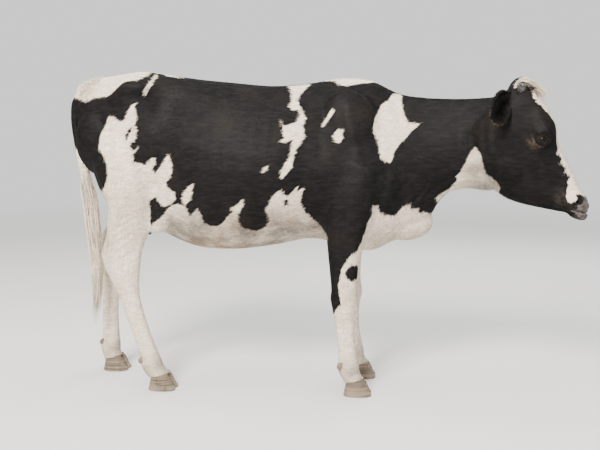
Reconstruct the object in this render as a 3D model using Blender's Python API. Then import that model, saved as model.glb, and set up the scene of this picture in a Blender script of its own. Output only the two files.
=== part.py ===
"""A black and white dairy heifer, about a year and a half old, standing at her real size.

Metres, +Z up, +X towards the head. The floor is at z = 0. The body is worked out in a frame whose
x and y zero lie under the middle of the barrel, and at the end everything is moved so that the
origin lies under the middle of the animal's box.
"""

import math
import random

import bmesh
import bpy
import numpy as np
from mathutils import Matrix, Vector

# Driving dimensions
GAP = 0.0003
SLIVER = 0.0004
BODY_VOXEL = 0.0085
BODY_SMOOTHING = 6
RING_SIDES = 36
TORSO_RINGS = 90
LEG_RINGS = 60
SEED = 7

# Triangles that the flesh is brought down to before it is parted, and how far past the cut
# between them the two pieces reach while that is done
HEAD_TRIANGLES = 2200
BODY_TRIANGLES = 4200
SPARE = 0.04

# Torso and neck: cross sections from the pins to the poll. Each has its place along the body, how
# far its middle stands off to the left, the top of the spine, four points down the side as
# (half width, height), and the bottom.
SECTIONS = {
    "pins": (-0.945, 0.0, 1.285, (0.045, 1.272), (0.098, 1.215), (0.105, 1.155), (0.075, 1.075), 1.040),
    "tail setting": (
        -0.900, 0.0, 1.318, (0.055, 1.300), (0.120, 1.235),
        (0.142, 1.130), (0.110, 1.000), 0.950,
    ),
    "thurl": (-0.790, 0.0, 1.341, (0.080, 1.322), (0.165, 1.255), (0.205, 1.100), (0.165, 0.870), 0.790),
    "hooks": (-0.670, 0.0, 1.354, (0.105, 1.340), (0.205, 1.285), (0.222, 1.080), (0.180, 0.800), 0.700),
    "hollow": (-0.560, 0.0, 1.338, (0.110, 1.318), (0.172, 1.245), (0.225, 1.020), (0.185, 0.745), 0.645),
    "loin": (-0.440, 0.0, 1.320, (0.100, 1.302), (0.178, 1.215), (0.260, 0.985), (0.205, 0.700), 0.600),
    "last rib": (-0.280, 0.0, 1.303, (0.090, 1.280), (0.196, 1.180), (0.284, 0.950), (0.212, 0.690), 0.590),
    "barrel": (-0.100, 0.0, 1.288, (0.078, 1.264), (0.186, 1.165), (0.274, 0.940), (0.198, 0.710), 0.612),
    "girth": (0.060, 0.0, 1.300, (0.062, 1.270), (0.152, 1.160), (0.232, 0.945), (0.160, 0.735), 0.640),
    "withers": (0.190, 0.0, 1.322, (0.045, 1.292), (0.128, 1.150), (0.200, 0.940), (0.145, 0.715), 0.612),
    "shoulder": (0.300, 0.0, 1.312, (0.042, 1.275), (0.112, 1.140), (0.188, 0.930), (0.135, 0.705), 0.588),
    "neck base": (0.420, 0.0, 1.256, (0.038, 1.228), (0.096, 1.120), (0.150, 0.920), (0.105, 0.735), 0.642),
    "brisket": (0.530, -0.006, 1.238, (0.036, 1.212), (0.084, 1.115), (0.118, 0.950), (0.078, 0.780), 0.698),
    "neck front": (
        0.600, -0.016, 1.233, (0.034, 1.210), (0.078, 1.120),
        (0.100, 0.990), (0.070, 0.870), 0.818,
    ),
    "mid neck": (0.690, -0.034, 1.231, (0.034, 1.208), (0.076, 1.125), (0.094, 1.010), (0.070, 0.905), 0.858),
    "throat": (0.800, -0.068, 1.234, (0.036, 1.212), (0.078, 1.130), (0.096, 1.020), (0.072, 0.910), 0.856),
    "nape": (0.870, -0.095, 1.240, (0.036, 1.220), (0.074, 1.140), (0.086, 1.040), (0.064, 0.940), 0.890),
}

# Legs: the middle of each joint as (x, half spread, z), for a hind leg the hip, stifle, hock,
# fetlock and coronet, and for a foreleg the shoulder, elbow, knee, fetlock and coronet
HIND_RIGHT = (
    (-0.770, 0.125, 1.090),
    (-0.695, 0.165, 0.830),
    (-0.744, 0.150, 0.550),
    (-0.628, 0.140, 0.130),
    (-0.592, 0.138, 0.062),
)
HIND_LEFT = (
    (-0.785, 0.125, 1.090),
    (-0.735, 0.165, 0.830),
    (-0.882, 0.150, 0.565),
    (-0.903, 0.140, 0.135),
    (-0.892, 0.138, 0.062),
)
FORE_RIGHT = (
    (0.270, 0.140, 0.960),
    (0.205, 0.150, 0.700),
    (0.201, 0.140, 0.385),
    (0.220, 0.136, 0.125),
    (0.240, 0.135, 0.062),
)
FORE_LEFT = (
    (0.270, 0.140, 0.960),
    (0.208, 0.150, 0.700),
    (0.210, 0.140, 0.385),
    (0.234, 0.136, 0.125),
    (0.256, 0.135, 0.062),
)

# How thick a leg is along that chain: (joint number and part of the way to the next, ahead of the
# chain, behind it, half width)
HIND_GIRTHS = (
    (0.00, 0.120, 0.140, 0.092),
    (0.50, 0.112, 0.138, 0.096),
    (0.85, 0.096, 0.128, 0.088),
    (1.10, 0.098, 0.108, 0.076),
    (1.40, 0.104, 0.084, 0.058),
    (1.70, 0.099, 0.076, 0.044),
    (1.88, 0.090, 0.082, 0.038),
    (2.00, 0.086, 0.084, 0.041),
    (2.14, 0.072, 0.068, 0.039),
    (2.32, 0.047, 0.050, 0.032),
    (2.60, 0.037, 0.042, 0.028),
    (2.86, 0.039, 0.043, 0.031),
    (3.02, 0.043, 0.049, 0.040),
    (3.50, 0.038, 0.042, 0.039),
    (4.00, 0.038, 0.046, 0.046),
    (4.40, 0.040, 0.046, 0.047),
)
FORE_GIRTHS = (
    (0.00, 0.095, 0.110, 0.062),
    (0.50, 0.105, 0.105, 0.070),
    (0.95, 0.095, 0.088, 0.066),
    (1.25, 0.072, 0.072, 0.054),
    (1.60, 0.058, 0.060, 0.043),
    (1.86, 0.052, 0.055, 0.040),
    (2.02, 0.054, 0.056, 0.045),
    (2.20, 0.043, 0.047, 0.037),
    (2.50, 0.036, 0.041, 0.028),
    (2.80, 0.038, 0.042, 0.029),
    (3.00, 0.043, 0.049, 0.038),
    (3.50, 0.038, 0.041, 0.038),
    (4.00, 0.038, 0.045, 0.045),
    (4.40, 0.040, 0.045, 0.046),
)

# Head: its own frame has x down the face, y to the animal's left, z out of the forehead
HEAD_PLACE = (0.8415, -0.1005, 1.0583)
HEAD_TURN = math.radians(17.0)
HEAD_DROP = math.radians(40.0)
# Cross sections from the poll to the muzzle: place, top, three points down the side as
# (half width, height), and the bottom
HEAD_SECTIONS = {
    "poll rear": (-0.118, 0.205, (0.050, 0.185), (0.078, 0.080), (0.066, -0.050), -0.085),
    "poll": (-0.085, 0.238, (0.056, 0.212), (0.086, 0.095), (0.072, -0.070), -0.110),
    "crown": (-0.045, 0.232, (0.066, 0.205), (0.094, 0.090), (0.076, -0.090), -0.128),
    "temple": (0.010, 0.211, (0.074, 0.187), (0.097, 0.075), (0.078, -0.105), -0.148),
    "brow": (0.065, 0.193, (0.080, 0.166), (0.092, 0.070), (0.076, -0.112), -0.172),
    "eye": (0.115, 0.168, (0.074, 0.145), (0.086, 0.050), (0.070, -0.115), -0.176),
    "below the eye": (0.160, 0.126, (0.060, 0.112), (0.077, 0.020), (0.060, -0.112), -0.172),
    "nose root": (0.225, 0.096, (0.047, 0.083), (0.064, -0.005), (0.047, -0.098), -0.148),
    "mid nose": (0.295, 0.064, (0.041, 0.052), (0.054, -0.018), (0.039, -0.078), -0.110),
    "muzzle rear": (0.350, 0.041, (0.044, 0.026), (0.057, -0.018), (0.038, -0.058), -0.078),
    "nostrils": (0.388, 0.026, (0.044, 0.008), (0.056, -0.020), (0.034, -0.045), -0.054),
    "muzzle front": (0.418, 0.001, (0.029, -0.008), (0.038, -0.025), (0.024, -0.042), -0.048),
}
EYE_AT = (0.117, 0.0850, 0.096)
EYE_RADIUS = 0.0235
EYE_OPENING = (0.0235, 0.0165)
EYE_SLANT = math.radians(18)
LID_THICKNESS = 0.0045
HORN_AT = (-0.073, 0.066, 0.193)
HORN_AXIS = (-0.18, 0.80, 0.55)
HORN_RADIUS = 0.0155
HORN_LENGTH = 0.034
# In the animal's own frame, for the right ear: where it points and where its cup faces
EAR_AT = (-0.092, 0.073, 0.146)
EAR_AXIS = (-0.24, 0.83, -0.50)
EAR_OPENING = (0.86, 0.42, -0.02)
EAR_YAW = -HEAD_TURN
EAR_LENGTH = 0.184
EAR_HALF_WIDTH = 0.058
EAR_SIDES = 14
NOSTRIL_AT = (0.384, 0.046, 0.006)
NOSTRIL_RADIUS = 0.0135

# Tail: the middle of the dock and switch as (x, y, z), and the radius of flesh there
TAIL_PATH = ((-0.940, 0.000, 1.262), (-0.978, 0.000, 1.220), (-0.991, 0.000, 1.150), (-0.981, 0.002, 1.060),
             (-0.964, 0.004, 0.950), (-0.945, 0.006, 0.840), (-0.930, 0.006, 0.720), (-0.920, 0.006, 0.600),
             (-0.912, 0.004, 0.480), (-0.917, 0.002, 0.360), (-0.930, 0.000, 0.250))
TAIL_RADII = (0.041, 0.0310, 0.0235, 0.0235, 0.0240, 0.0235, 0.0200, 0.0160, 0.0110, 0.0060, 0.0025)

TAIL_SIDES = 10
SWITCH_LOCKS = 17
FORELOCK_LOCKS = 12
GOLDEN_ANGLE = math.radians(137.5)

# Teats: their places along and across the udder, and (height, radius) down each
TEAT_ROWS = (-0.655, -0.715)
TEAT_SPREAD = 0.036
TEAT_LEVELS = ((0.705, 0.011), (0.672, 0.010), (0.654, 0.009), (0.645, 0.006))

# Hooves
CLAW_LENGTH = 0.116
CLAW_TOE = 0.074
CLAW_WIDTH = 0.049
CLAW_CLEFT = 0.006
CORONET_FRONT = 0.074
CORONET_REAR = 0.046
CORONET_REACH = 0.055


# Cuts that part the flesh, as lines and outlines of (x, z) in side view. The thigh and the
# shoulder end at their inner planes, so far from the middle.
HEAD_CUT = ((0.842, 1.300), (0.768, 0.860))
NECK_CUT = ((0.250, 1.330), (0.560, 0.690))
TAIL_CUT = ((-0.952, 1.400), (-0.952, 1.000))
FAR = 3.0
HIND_OUTLINE = (
    (-0.580, 0.700), (-0.600, 0.900), (-0.680, 1.100), (-0.800, 1.160),
    (-0.905, 1.120), (-1.050, 0.900), (-1.050, -0.100), (-0.400, -0.100),
)
FORE_OUTLINE = (
    (0.020, 0.600), (0.060, 0.880), (0.140, 1.080), (0.220, 1.150), (0.300, 1.060),
    (0.400, 0.880), (0.400, 0.700), (0.360, -0.100), (0.020, -0.100),
)
HIND_INNER = 0.055
FORE_INNER = 0.075

# The line between the lips, in the head's frame
MOUTH_CORNER = (0.311, -0.064)
MOUTH_FRONT = (0.432, -0.012)
MOUTH_GROOVE = 0.0022
MOUTH_HALF_WIDTH = 0.050


# The material of each kind of node. The rest of the flesh is black.
LOOK_OF = {
    "eye": "eye",
    "horn": "horn",
    "claw": "hoof",
    "dewclaw": "hoof",
    "tail": "coat_white",
    "leg": "coat_white",
}


def clear_scene():
    for thing in list(bpy.data.objects):
        bpy.data.objects.remove(thing, do_unlink=True)


def material(name, colour, roughness):
    made = bpy.data.materials.new(name)
    made.use_nodes = True
    shader = made.node_tree.nodes["Principled BSDF"]
    shader.inputs["Base Color"].default_value = (*colour, 1.0)
    shader.inputs["Roughness"].default_value = roughness
    shader.inputs["Metallic"].default_value = 0.0
    return made


def through(knots, values, places):
    """A smooth curve that passes through the values at the knots, read at the places."""
    knots = np.asarray(knots, float)
    values = np.asarray(values, float)
    places = np.asarray(places, float)
    slopes = np.gradient(values, knots, axis=0)
    k = np.clip(np.searchsorted(knots, places, side="right") - 1, 0, len(knots) - 2)
    step = (knots[k + 1] - knots[k])[:, None]
    t = (places - knots[k])[:, None] / step
    return (
        (1 + 2 * t) * (1 - t) ** 2 * values[k]
        + t * (1 - t) ** 2 * step * slopes[k]
        + t * t * (3 - 2 * t) * values[k + 1]
        + t * t * (t - 1) * step * slopes[k + 1]
    )


def closed_curve(points, count):
    """Points spread along a smooth closed curve through the given ones."""
    points = np.asarray(points, float)
    around = len(points)
    wrapped = np.concatenate([points[-3:], points, points[:4]])
    return through(np.arange(-3, around + 4), wrapped, np.arange(count) * around / count)


def mesh_object(name, points, faces):
    mesh = bpy.data.meshes.new(name)
    mesh.from_pydata([tuple(map(float, p)) for p in points], [], faces)
    outward = bmesh.new()
    outward.from_mesh(mesh)
    bmesh.ops.recalc_face_normals(outward, faces=outward.faces)
    outward.to_mesh(mesh)
    outward.free()
    made = bpy.data.objects.new(name, mesh)
    bpy.context.scene.collection.objects.link(made)
    return made


def loft(name, rings, pointed=False):
    """A closed solid through rings of points. A pointed one ends in the middle of its last ring."""
    rings = [np.asarray(ring, float) for ring in rings]
    sides = len(rings[0])
    tip = [rings[-1].mean(axis=0)] if pointed else []
    body = rings[:-1] if pointed else rings
    faces = []
    for i in range(len(body) - 1):
        for j in range(sides):
            k = (j + 1) % sides
            faces.append((i * sides + j, i * sides + k, (i + 1) * sides + k, (i + 1) * sides + j))
    faces.append(tuple(range(sides)))
    last = (len(body) - 1) * sides
    if pointed:
        faces += [(last + j, last + (j + 1) % sides, len(body) * sides) for j in range(sides)]
    else:
        faces.append(tuple(last + j for j in range(sides)))
    return mesh_object(name, np.concatenate(body + [tip]) if pointed else np.concatenate(body), faces)


def ellipsoid(name, centre, radii, sides=24):
    """A ball stretched along x, y and z."""
    rings = []
    for i in range(1, sides // 2):
        a = math.pi * i / (sides // 2)
        rings.append([
            (
                centre[0] + radii[0] * math.cos(a),
                centre[1] + radii[1] * math.sin(a) * math.cos(math.tau * j / sides),
                centre[2] + radii[2] * math.sin(a) * math.sin(math.tau * j / sides),
            )
            for j in range(sides)
        ])
    return loft(name, rings)


def evaluated(piece):
    """The piece with its modifiers worked into its mesh."""
    graph = bpy.context.evaluated_depsgraph_get()
    mesh = bpy.data.meshes.new_from_object(piece.evaluated_get(graph))
    piece.modifiers.clear()
    old = piece.data
    piece.data = mesh
    bpy.data.meshes.remove(old)
    return piece


def joined(name, pieces):
    """Several meshes as one object, each still a body of its own."""
    whole = bmesh.new()
    for piece in pieces:
        piece.data.transform(piece.matrix_world)
        whole.from_mesh(piece.data)
    mesh = bpy.data.meshes.new(name)
    whole.to_mesh(mesh)
    whole.free()
    for piece in pieces:
        bpy.data.objects.remove(piece, do_unlink=True)
    made = bpy.data.objects.new(name, mesh)
    bpy.context.scene.collection.objects.link(made)
    return made


def blended(name, pieces, voxel, smoothing):
    """Overlapping lofts as one soft surface."""
    made = joined(name, pieces)
    remesh = made.modifiers.new("one skin", "REMESH")
    remesh.mode = "VOXEL"
    remesh.voxel_size = voxel
    remesh.adaptivity = 0.0
    smooth = made.modifiers.new("softened", "SMOOTH")
    smooth.factor = 0.5
    smooth.iterations = smoothing
    return evaluated(made)


def boolean(target, other, operation, solver="EXACT"):
    cut = target.modifiers.new(operation, "BOOLEAN")
    cut.operation = operation
    cut.object = other
    cut.solver = solver
    return evaluated(target)


def copy_of(piece, name):
    made = bpy.data.objects.new(name, piece.data.copy())
    bpy.context.scene.collection.objects.link(made)
    return made


def remove(*pieces):
    for piece in pieces:
        bpy.data.objects.remove(piece, do_unlink=True)


def keep_largest(piece):
    """Drops all but the closed surface that holds the most."""
    mesh = bmesh.new()
    mesh.from_mesh(piece.data)
    left = set(mesh.verts)
    shells = []
    while left:
        first = left.pop()
        shell = {first}
        edge = [first]
        while edge:
            here = edge.pop()
            for link in here.link_edges:
                there = link.other_vert(here)
                if there not in shell:
                    shell.add(there)
                    edge.append(there)
        left -= shell
        shells.append(shell)

    def held(shell):
        total = 0.0
        for face in mesh.faces:
            if face.verts[0] in shell:
                first = face.verts[0].co
                for i in range(1, len(face.verts) - 1):
                    total += first.dot(face.verts[i].co.cross(face.verts[i + 1].co)) / 6
        return abs(total)

    if len(shells) > 1:
        best = max(shells, key=held)
        spare = [vert for vert in mesh.verts if vert not in best]
        bmesh.ops.delete(mesh, geom=spare, context="VERTS")
        mesh.to_mesh(piece.data)
    mesh.free()
    return piece


def is_closed(mesh):
    """Whether each edge has two faces and each corner one fan of them."""
    test = bmesh.new()
    test.from_mesh(mesh)
    sound = all(edge.is_manifold for edge in test.edges) and all(vert.is_manifold for vert in test.verts)
    test.free()
    return sound


def welded(piece, distance):
    """Takes out the slivers that a cut leaves."""
    mesh = bmesh.new()
    mesh.from_mesh(piece.data)
    bmesh.ops.remove_doubles(mesh, verts=mesh.verts, dist=distance)
    bmesh.ops.dissolve_degenerate(mesh, edges=mesh.edges, dist=distance / 4)
    mesh.to_mesh(piece.data)
    mesh.free()
    return piece


def mended(piece):
    """Closes the pinholes and folds that a cut can leave, each by a small patch."""
    mesh = bmesh.new()
    mesh.from_mesh(piece.data)
    for _ in range(6):
        bad = {vert for edge in mesh.edges if not edge.is_manifold for vert in edge.verts}
        bad |= {vert for vert in mesh.verts if not vert.is_manifold}
        if not bad:
            break
        bmesh.ops.delete(mesh, geom=list({face for vert in bad for face in vert.link_faces}), context="FACES")
        loose = [vert for vert in mesh.verts if not vert.link_faces]
        bmesh.ops.delete(mesh, geom=loose, context="VERTS")
        wires = [edge for edge in mesh.edges if not edge.link_faces]
        bmesh.ops.delete(mesh, geom=wires, context="EDGES")
        rim = [edge for edge in mesh.edges if len(edge.link_faces) == 1]
        patch = bmesh.ops.holes_fill(mesh, edges=rim, sides=0)["faces"]
        bmesh.ops.triangulate(mesh, faces=patch)
    bmesh.ops.recalc_face_normals(mesh, faces=mesh.faces)
    mesh.to_mesh(piece.data)
    mesh.free()
    return piece


def thinned(piece, triangles):
    """The same surface in about so many triangles, or a few more where fewer would tear it."""
    mended(welded(piece, SLIVER))
    now = sum(len(face.vertices) - 2 for face in piece.data.polygons)
    full = piece.data.copy()
    for extra in range(12):
        piece.data = full.copy()
        fewer = piece.modifiers.new("fewer faces", "DECIMATE")
        fewer.ratio = min(1.0, triangles * (1 + 0.02 * extra) / now)
        evaluated(piece)
        if is_closed(piece.data):
            return piece
    return mended(piece)


def slab(name, outline, low, high):
    """A prism over an outline of (x, z) points, from y = low to y = high."""
    return loft(name, [[(x, y, z) for x, z in outline] for y in (low, high)])


def grown_outline(outline, by):
    """A convex outline with each side moved out."""
    points = [Vector(p) for p in outline]
    middle = sum(points, Vector((0, 0))) / len(points)
    moved = []
    for i, here in enumerate(points):
        before = points[i - 1]
        after = points[(i + 1) % len(points)]
        offsets = []
        for a, b in ((before, here), (here, after)):
            side = Vector((b - a).orthogonal()).normalized()
            if side.dot(here - middle) < 0:
                side.negate()
            offsets.append(side)
        spread = (offsets[0] + offsets[1]).normalized()
        moved.append(tuple(here + spread * by / spread.dot(offsets[0])))
    return moved


def torso_and_neck():
    names = list(SECTIONS)
    rows = []
    for name in names:
        x, off, top, shelf, upper, side, lower, bottom = SECTIONS[name]
        rows.append((off, top, *shelf, *upper, *side, *lower, bottom))
    places = [SECTIONS[name][0] for name in names]
    rings = []
    at = np.linspace(places[0], places[-1], TORSO_RINGS)
    for x, row in zip(at, through(places, rows, at)):
        off, top = row[:2]
        half = [(row[i], row[i + 1]) for i in range(2, 10, 2)]
        bottom = row[10]
        outline = [(0.0, top), *half, (0.0, bottom), *[(-y, z) for y, z in reversed(half)]]
        ring = closed_curve(outline, RING_SIDES)
        rings.append([(x, off + y, z) for y, z in ring])
    return loft("torso_and_neck", rings)


def leg(name, chain, girths, side):
    """A leg as a loft along its joints. Its side is 1 for the left and -1 for the right."""
    joints = np.array([(x, side * y, z) for x, y, z in chain])
    knots = np.arange(len(joints))
    below = joints[-1] + (joints[-1] - joints[-2]) * 0.5
    joints = np.vstack([joints, below])
    knots = np.append(knots, len(knots) - 0.5)
    levels = np.linspace(girths[0][0], girths[-1][0], LEG_RINGS)
    middles = through(knots, joints, levels)
    ahead = through(knots, joints, np.minimum(levels + 0.05, knots[-1]))
    behind = through(knots, joints, np.maximum(levels - 0.05, 0.0))
    sizes = through([g[0] for g in girths], [g[1:] for g in girths], levels)
    rings = []
    for middle, course, (front, rear, half) in zip(middles, ahead - behind, sizes):
        course = course / np.linalg.norm(course)
        forward = np.array([-course[2], 0.0, course[0]])
        forward = forward / np.linalg.norm(forward)
        across = np.cross(course, forward)
        ring = []
        for k in range(24):
            a = math.tau * k / 24
            reach = front if math.cos(a) > 0 else rear
            ring.append(middle + forward * reach * math.cos(a) + across * half * math.sin(a))
        rings.append(ring)
    return loft(name, rings)


def head_matrix():
    down = Vector((
        math.cos(HEAD_TURN) * math.cos(HEAD_DROP),
        -math.sin(HEAD_TURN) * math.cos(HEAD_DROP),
        -math.sin(HEAD_DROP),
    ))
    left = Vector((math.sin(HEAD_TURN), math.cos(HEAD_TURN), 0.0))
    out = down.cross(left)
    turn = Matrix((down, left, out)).transposed().to_4x4()
    return Matrix.Translation(HEAD_PLACE) @ turn


def on_head(piece):
    """Moves a piece made in the head's frame to where the head is."""
    piece.data.transform(head_matrix())
    return piece


def head_pieces():
    names = list(HEAD_SECTIONS)
    places = [HEAD_SECTIONS[name][0] for name in names]
    rows = []
    for name in names:
        place, top, brow, side, jaw, bottom = HEAD_SECTIONS[name]
        rows.append((top, *brow, *side, *jaw, bottom))
    at = np.linspace(places[0], places[-1], 70)
    rings = []
    for x, row in zip(at, through(places, rows, at)):
        half = [(row[i], row[i + 1]) for i in range(1, 7, 2)]
        outline = [(0.0, row[0]), *half, (0.0, row[7]), *[(-y, z) for y, z in reversed(half)]]
        rings.append([(x, y, z) for y, z in closed_curve(outline, RING_SIDES)])
    skull = loft("skull", rings)
    masses = [skull]
    for side in (1, -1):
        masses.append(ellipsoid("orbit", (0.098, side * 0.073, 0.112), (0.052, 0.032, 0.043)))
        masses.append(ellipsoid("cheek", (0.085, side * 0.058, -0.060), (0.075, 0.034, 0.095)))
        masses.append(ellipsoid("cheek ridge", (0.185, side * 0.050, 0.012), (0.085, 0.020, 0.024)))
        masses.append(ellipsoid("nostril wing", (0.378, side * 0.040, 0.006), (0.032, 0.021, 0.026)))
        masses.append(ellipsoid("upper lip", (0.358, side * 0.036, -0.030), (0.046, 0.021, 0.022)))
    masses.append(ellipsoid("nose pad", (0.404, 0.0, -0.004), (0.021, 0.042, 0.026)))
    masses.append(ellipsoid("lower lip", (0.419, 0.0, -0.034), (0.026, 0.035, 0.023)))
    masses.append(ellipsoid("chin", (0.392, 0.0, -0.047), (0.036, 0.031, 0.020)))
    masses.append(ellipsoid("poll", (-0.098, 0.0, 0.188), (0.034, 0.052, 0.050)))
    return [on_head(mass) for mass in masses]


def body_pieces():
    pieces = [torso_and_neck(), *head_pieces()]
    pieces.append(leg("hind right", HIND_RIGHT, HIND_GIRTHS, -1))
    pieces.append(leg("hind left", HIND_LEFT, HIND_GIRTHS, 1))
    pieces.append(leg("fore right", FORE_RIGHT, FORE_GIRTHS, -1))
    pieces.append(leg("fore left", FORE_LEFT, FORE_GIRTHS, 1))
    for side in (1, -1):
        pieces.append(ellipsoid("hook bone", (-0.665, side * 0.192, 1.266), (0.062, 0.036, 0.040)))
        pieces.append(ellipsoid("pin bone", (-0.915, side * 0.085, 1.185), (0.036, 0.032, 0.040)))
        pieces.append(ellipsoid("rump", (-0.820, side * 0.125, 1.060), (0.120, 0.090, 0.150)))
        pieces.append(ellipsoid("buttock", (-0.862, side * 0.105, 1.040), (0.068, 0.062, 0.125)))
        pieces.append(ellipsoid("shoulder blade", (0.205, side * 0.088, 1.040), (0.150, 0.086, 0.230)))
        pieces.append(ellipsoid("point of shoulder", (0.340, side * 0.118, 0.880), (0.090, 0.066, 0.110)))
        pieces.append(ellipsoid("flank fold", (-0.590, side * 0.160, 0.745), (0.080, 0.035, 0.075)))
    pieces.append(ellipsoid("tail root", (-0.925, 0.0, 1.285), (0.060, 0.034, 0.028)))
    pieces.append(ellipsoid("brisket", (0.450, 0.0, 0.720), (0.120, 0.072, 0.085)))
    pieces.append(ellipsoid("udder", (-0.675, 0.0, 0.722), (0.090, 0.080, 0.048)))
    return pieces


def cut_by_plane(piece, point, normal):
    """Keeps what lies on the side of a plane that its normal points to, and closes the cut."""
    mesh = bmesh.new()
    mesh.from_mesh(piece.data)
    geometry = list(mesh.verts) + list(mesh.edges) + list(mesh.faces)
    cut = bmesh.ops.bisect_plane(
        mesh, geom=geometry, dist=SLIVER, use_snap_center=True,
        plane_co=point, plane_no=normal, clear_inner=True)
    rim = [part for part in cut["geom_cut"] if isinstance(part, bmesh.types.BMEdge)]
    bmesh.ops.holes_fill(mesh, edges=rim, sides=0)
    bmesh.ops.recalc_face_normals(mesh, faces=mesh.faces)
    mesh.to_mesh(piece.data)
    mesh.free()
    return keep_largest(piece)


def sliced(piece, line, kept, shift=0.0):
    """Keeps one side of a plane that shows as a line from top to bottom in side view.

    The side kept is 1 for ahead of it and -1 for behind it, and the shift moves the plane ahead.
    """
    (top_x, top_z), (bottom_x, bottom_z) = line
    ahead = Vector((top_z - bottom_z, 0.0, bottom_x - top_x)).normalized()
    return cut_by_plane(piece, Vector((top_x, 0.0, top_z)) + ahead * shift, ahead * kept)


def parted(piece, name, line):
    """Cuts off what is ahead of the line as a new node, and leaves the gap behind the cut."""
    front = sliced(copy_of(piece, name), line, 1)
    sliced(piece, line, -1, shift=-GAP)
    return front


def leg_off(body, name, outline, inner, side):
    """Cuts a leg off with its thigh or shoulder."""
    near, far = sorted((side * inner, side * FAR))
    keep = slab("keep", outline, near, far)
    near, far = sorted((side * (inner - GAP), side * FAR * 2))
    lose = slab("lose", grown_outline(outline, GAP), near, far)
    taken = copy_of(body, name)
    boolean(taken, keep, "INTERSECT")
    boolean(body, lose, "DIFFERENCE")
    remove(keep, lose)
    return keep_largest(taken)


def coronet_line(foot):
    """The line of the coronet in side view, over the foot at this x."""
    return (
        (foot + CORONET_REACH, CORONET_FRONT),
        (foot - CORONET_REACH, CORONET_REAR),
    )


def foot_off(limb, foot):
    """Ends a leg at its coronet."""
    (front_x, front_z), (rear_x, rear_z) = coronet_line(foot)
    up = Vector((rear_z - front_z, 0.0, front_x - rear_x)).normalized()
    return cut_by_plane(limb, Vector((front_x, 0.0, front_z)), up)


def claw(name, foot, middle, side):
    """One half of a hoof. The side is 1 where it is the left one of its foot."""
    front, rear = coronet_line(foot)
    slope = (front[1] - rear[1]) / (front[0] - rear[0])

    def coronet_height(x):
        return rear[1] + (x - rear[0]) * slope - GAP * 1.1

    toe, heel = foot + CLAW_TOE, foot + CLAW_TOE - CLAW_LENGTH
    levels = (
        (0.0, toe - 0.004, heel + 0.004, 0.94),
        (0.10, toe, heel, 1.0),
        (0.55, toe - 0.019, heel - 0.005, 1.0),
        (1.0, toe - 0.038, heel - 0.008, 0.96),
    )
    rings = []
    for part, tip, back, spread in levels:
        ring = []
        for k in range(12):
            a = math.tau * k / 12
            x = (tip + back) / 2 + (tip - back) / 2 * math.cos(a)
            out = math.sin(a)
            reach = CLAW_WIDTH * spread * (0.62 if out > 0 else 0.38) * abs(out) ** 0.75
            y = middle + side * (CLAW_CLEFT / 2 + CLAW_WIDTH * 0.38 + math.copysign(reach, out))
            ring.append((x, y, part * coronet_height(x)))
        rings.append(ring)
    return loft(name, rings)


def peg(name, at, axis, radius, sunk, height, grown=0.0, sides=12):
    """A short horn: a round root sunk in, and a rounded tip."""
    axis = Vector(axis).normalized()
    turn = axis.to_track_quat("Z", "Y").to_matrix().to_4x4()
    rings = []
    levels = ((-sunk, 0.92), (0.0, 1.0), (height * 0.5, 0.86), (height * 0.85, 0.55), (height, 0.2))
    for along, part in levels:
        along += math.copysign(grown, along) if along else 0.0
        r = radius * part + grown
        turns = [math.tau * k / sides for k in range(sides)]
        rings.append([(r * math.cos(a), r * math.sin(a), along) for a in turns])
    made = loft(name, rings)
    made.data.transform(Matrix.Translation(at) @ turn)
    return made


def set_in(host, name, **sizes):
    """A peg in a seat cut for it."""
    seat = peg("seat", grown=GAP, **sizes)
    boolean(host, seat, "DIFFERENCE", "MANIFOLD")
    remove(seat)
    return peg(name, **sizes)


def ear_loft(name, grown=0.0, inner=False):
    """The outside of an ear, or the space in its cup, in a frame with x along it and z out of the cup."""
    steps = (
        (-0.10, 0.36, 0.40),
        (0.05, 0.40, 0.42),
        (0.18, 0.66, 0.50),
        (0.35, 0.94, 0.52),
        (0.52, 1.00, 0.46),
        (0.70, 0.88, 0.36),
        (0.85, 0.62, 0.26),
        (0.95, 0.34, 0.18),
        (1.00, 0.12, 0.10),
    )
    turns = [math.tau * k / EAR_SIDES for k in range(EAR_SIDES)]
    rings = []
    for along, wide, deep in steps[2:] if inner else steps:
        half = EAR_HALF_WIDTH * wide + grown
        depth = EAR_HALF_WIDTH * deep + grown
        lift = 0.0
        if inner:
            half = half * 0.93 - 0.002
            depth = depth * 1.15
            lift = 0.006 + 0.30 * depth
            along = 0.10 + 0.88 * along
        x = along * EAR_LENGTH - (grown if along < 0 else 0.0)
        rings.append([(x, half * math.cos(a), lift + depth * math.sin(a)) for a in turns])
    return loft(name, rings)


def ear_frame(side):
    along = Vector((EAR_AXIS[0], side * EAR_AXIS[1], EAR_AXIS[2])).normalized()
    opening = Vector((EAR_OPENING[0], side * EAR_OPENING[1], EAR_OPENING[2]))
    opening = (opening - along * opening.dot(along)).normalized()
    across = opening.cross(along)
    turn = Matrix.Rotation(EAR_YAW, 4, "Z") @ Matrix((along, across, opening)).transposed().to_4x4()
    at = head_matrix() @ Vector((EAR_AT[0], side * EAR_AT[1], EAR_AT[2]))
    return Matrix.Translation(at) @ turn


def ear(name, hosts, side):
    frame = ear_frame(side)
    seat = ear_loft("seat", grown=GAP)
    outside = ear_loft(name)
    cup = ear_loft("cup", inner=True)
    for piece in (seat, outside, cup):
        piece.data.transform(frame)
    boolean(outside, cup, "DIFFERENCE")
    for host in hosts:
        boolean(host, seat, "DIFFERENCE")
    remove(seat, cup)
    return keep_largest(outside)


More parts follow.
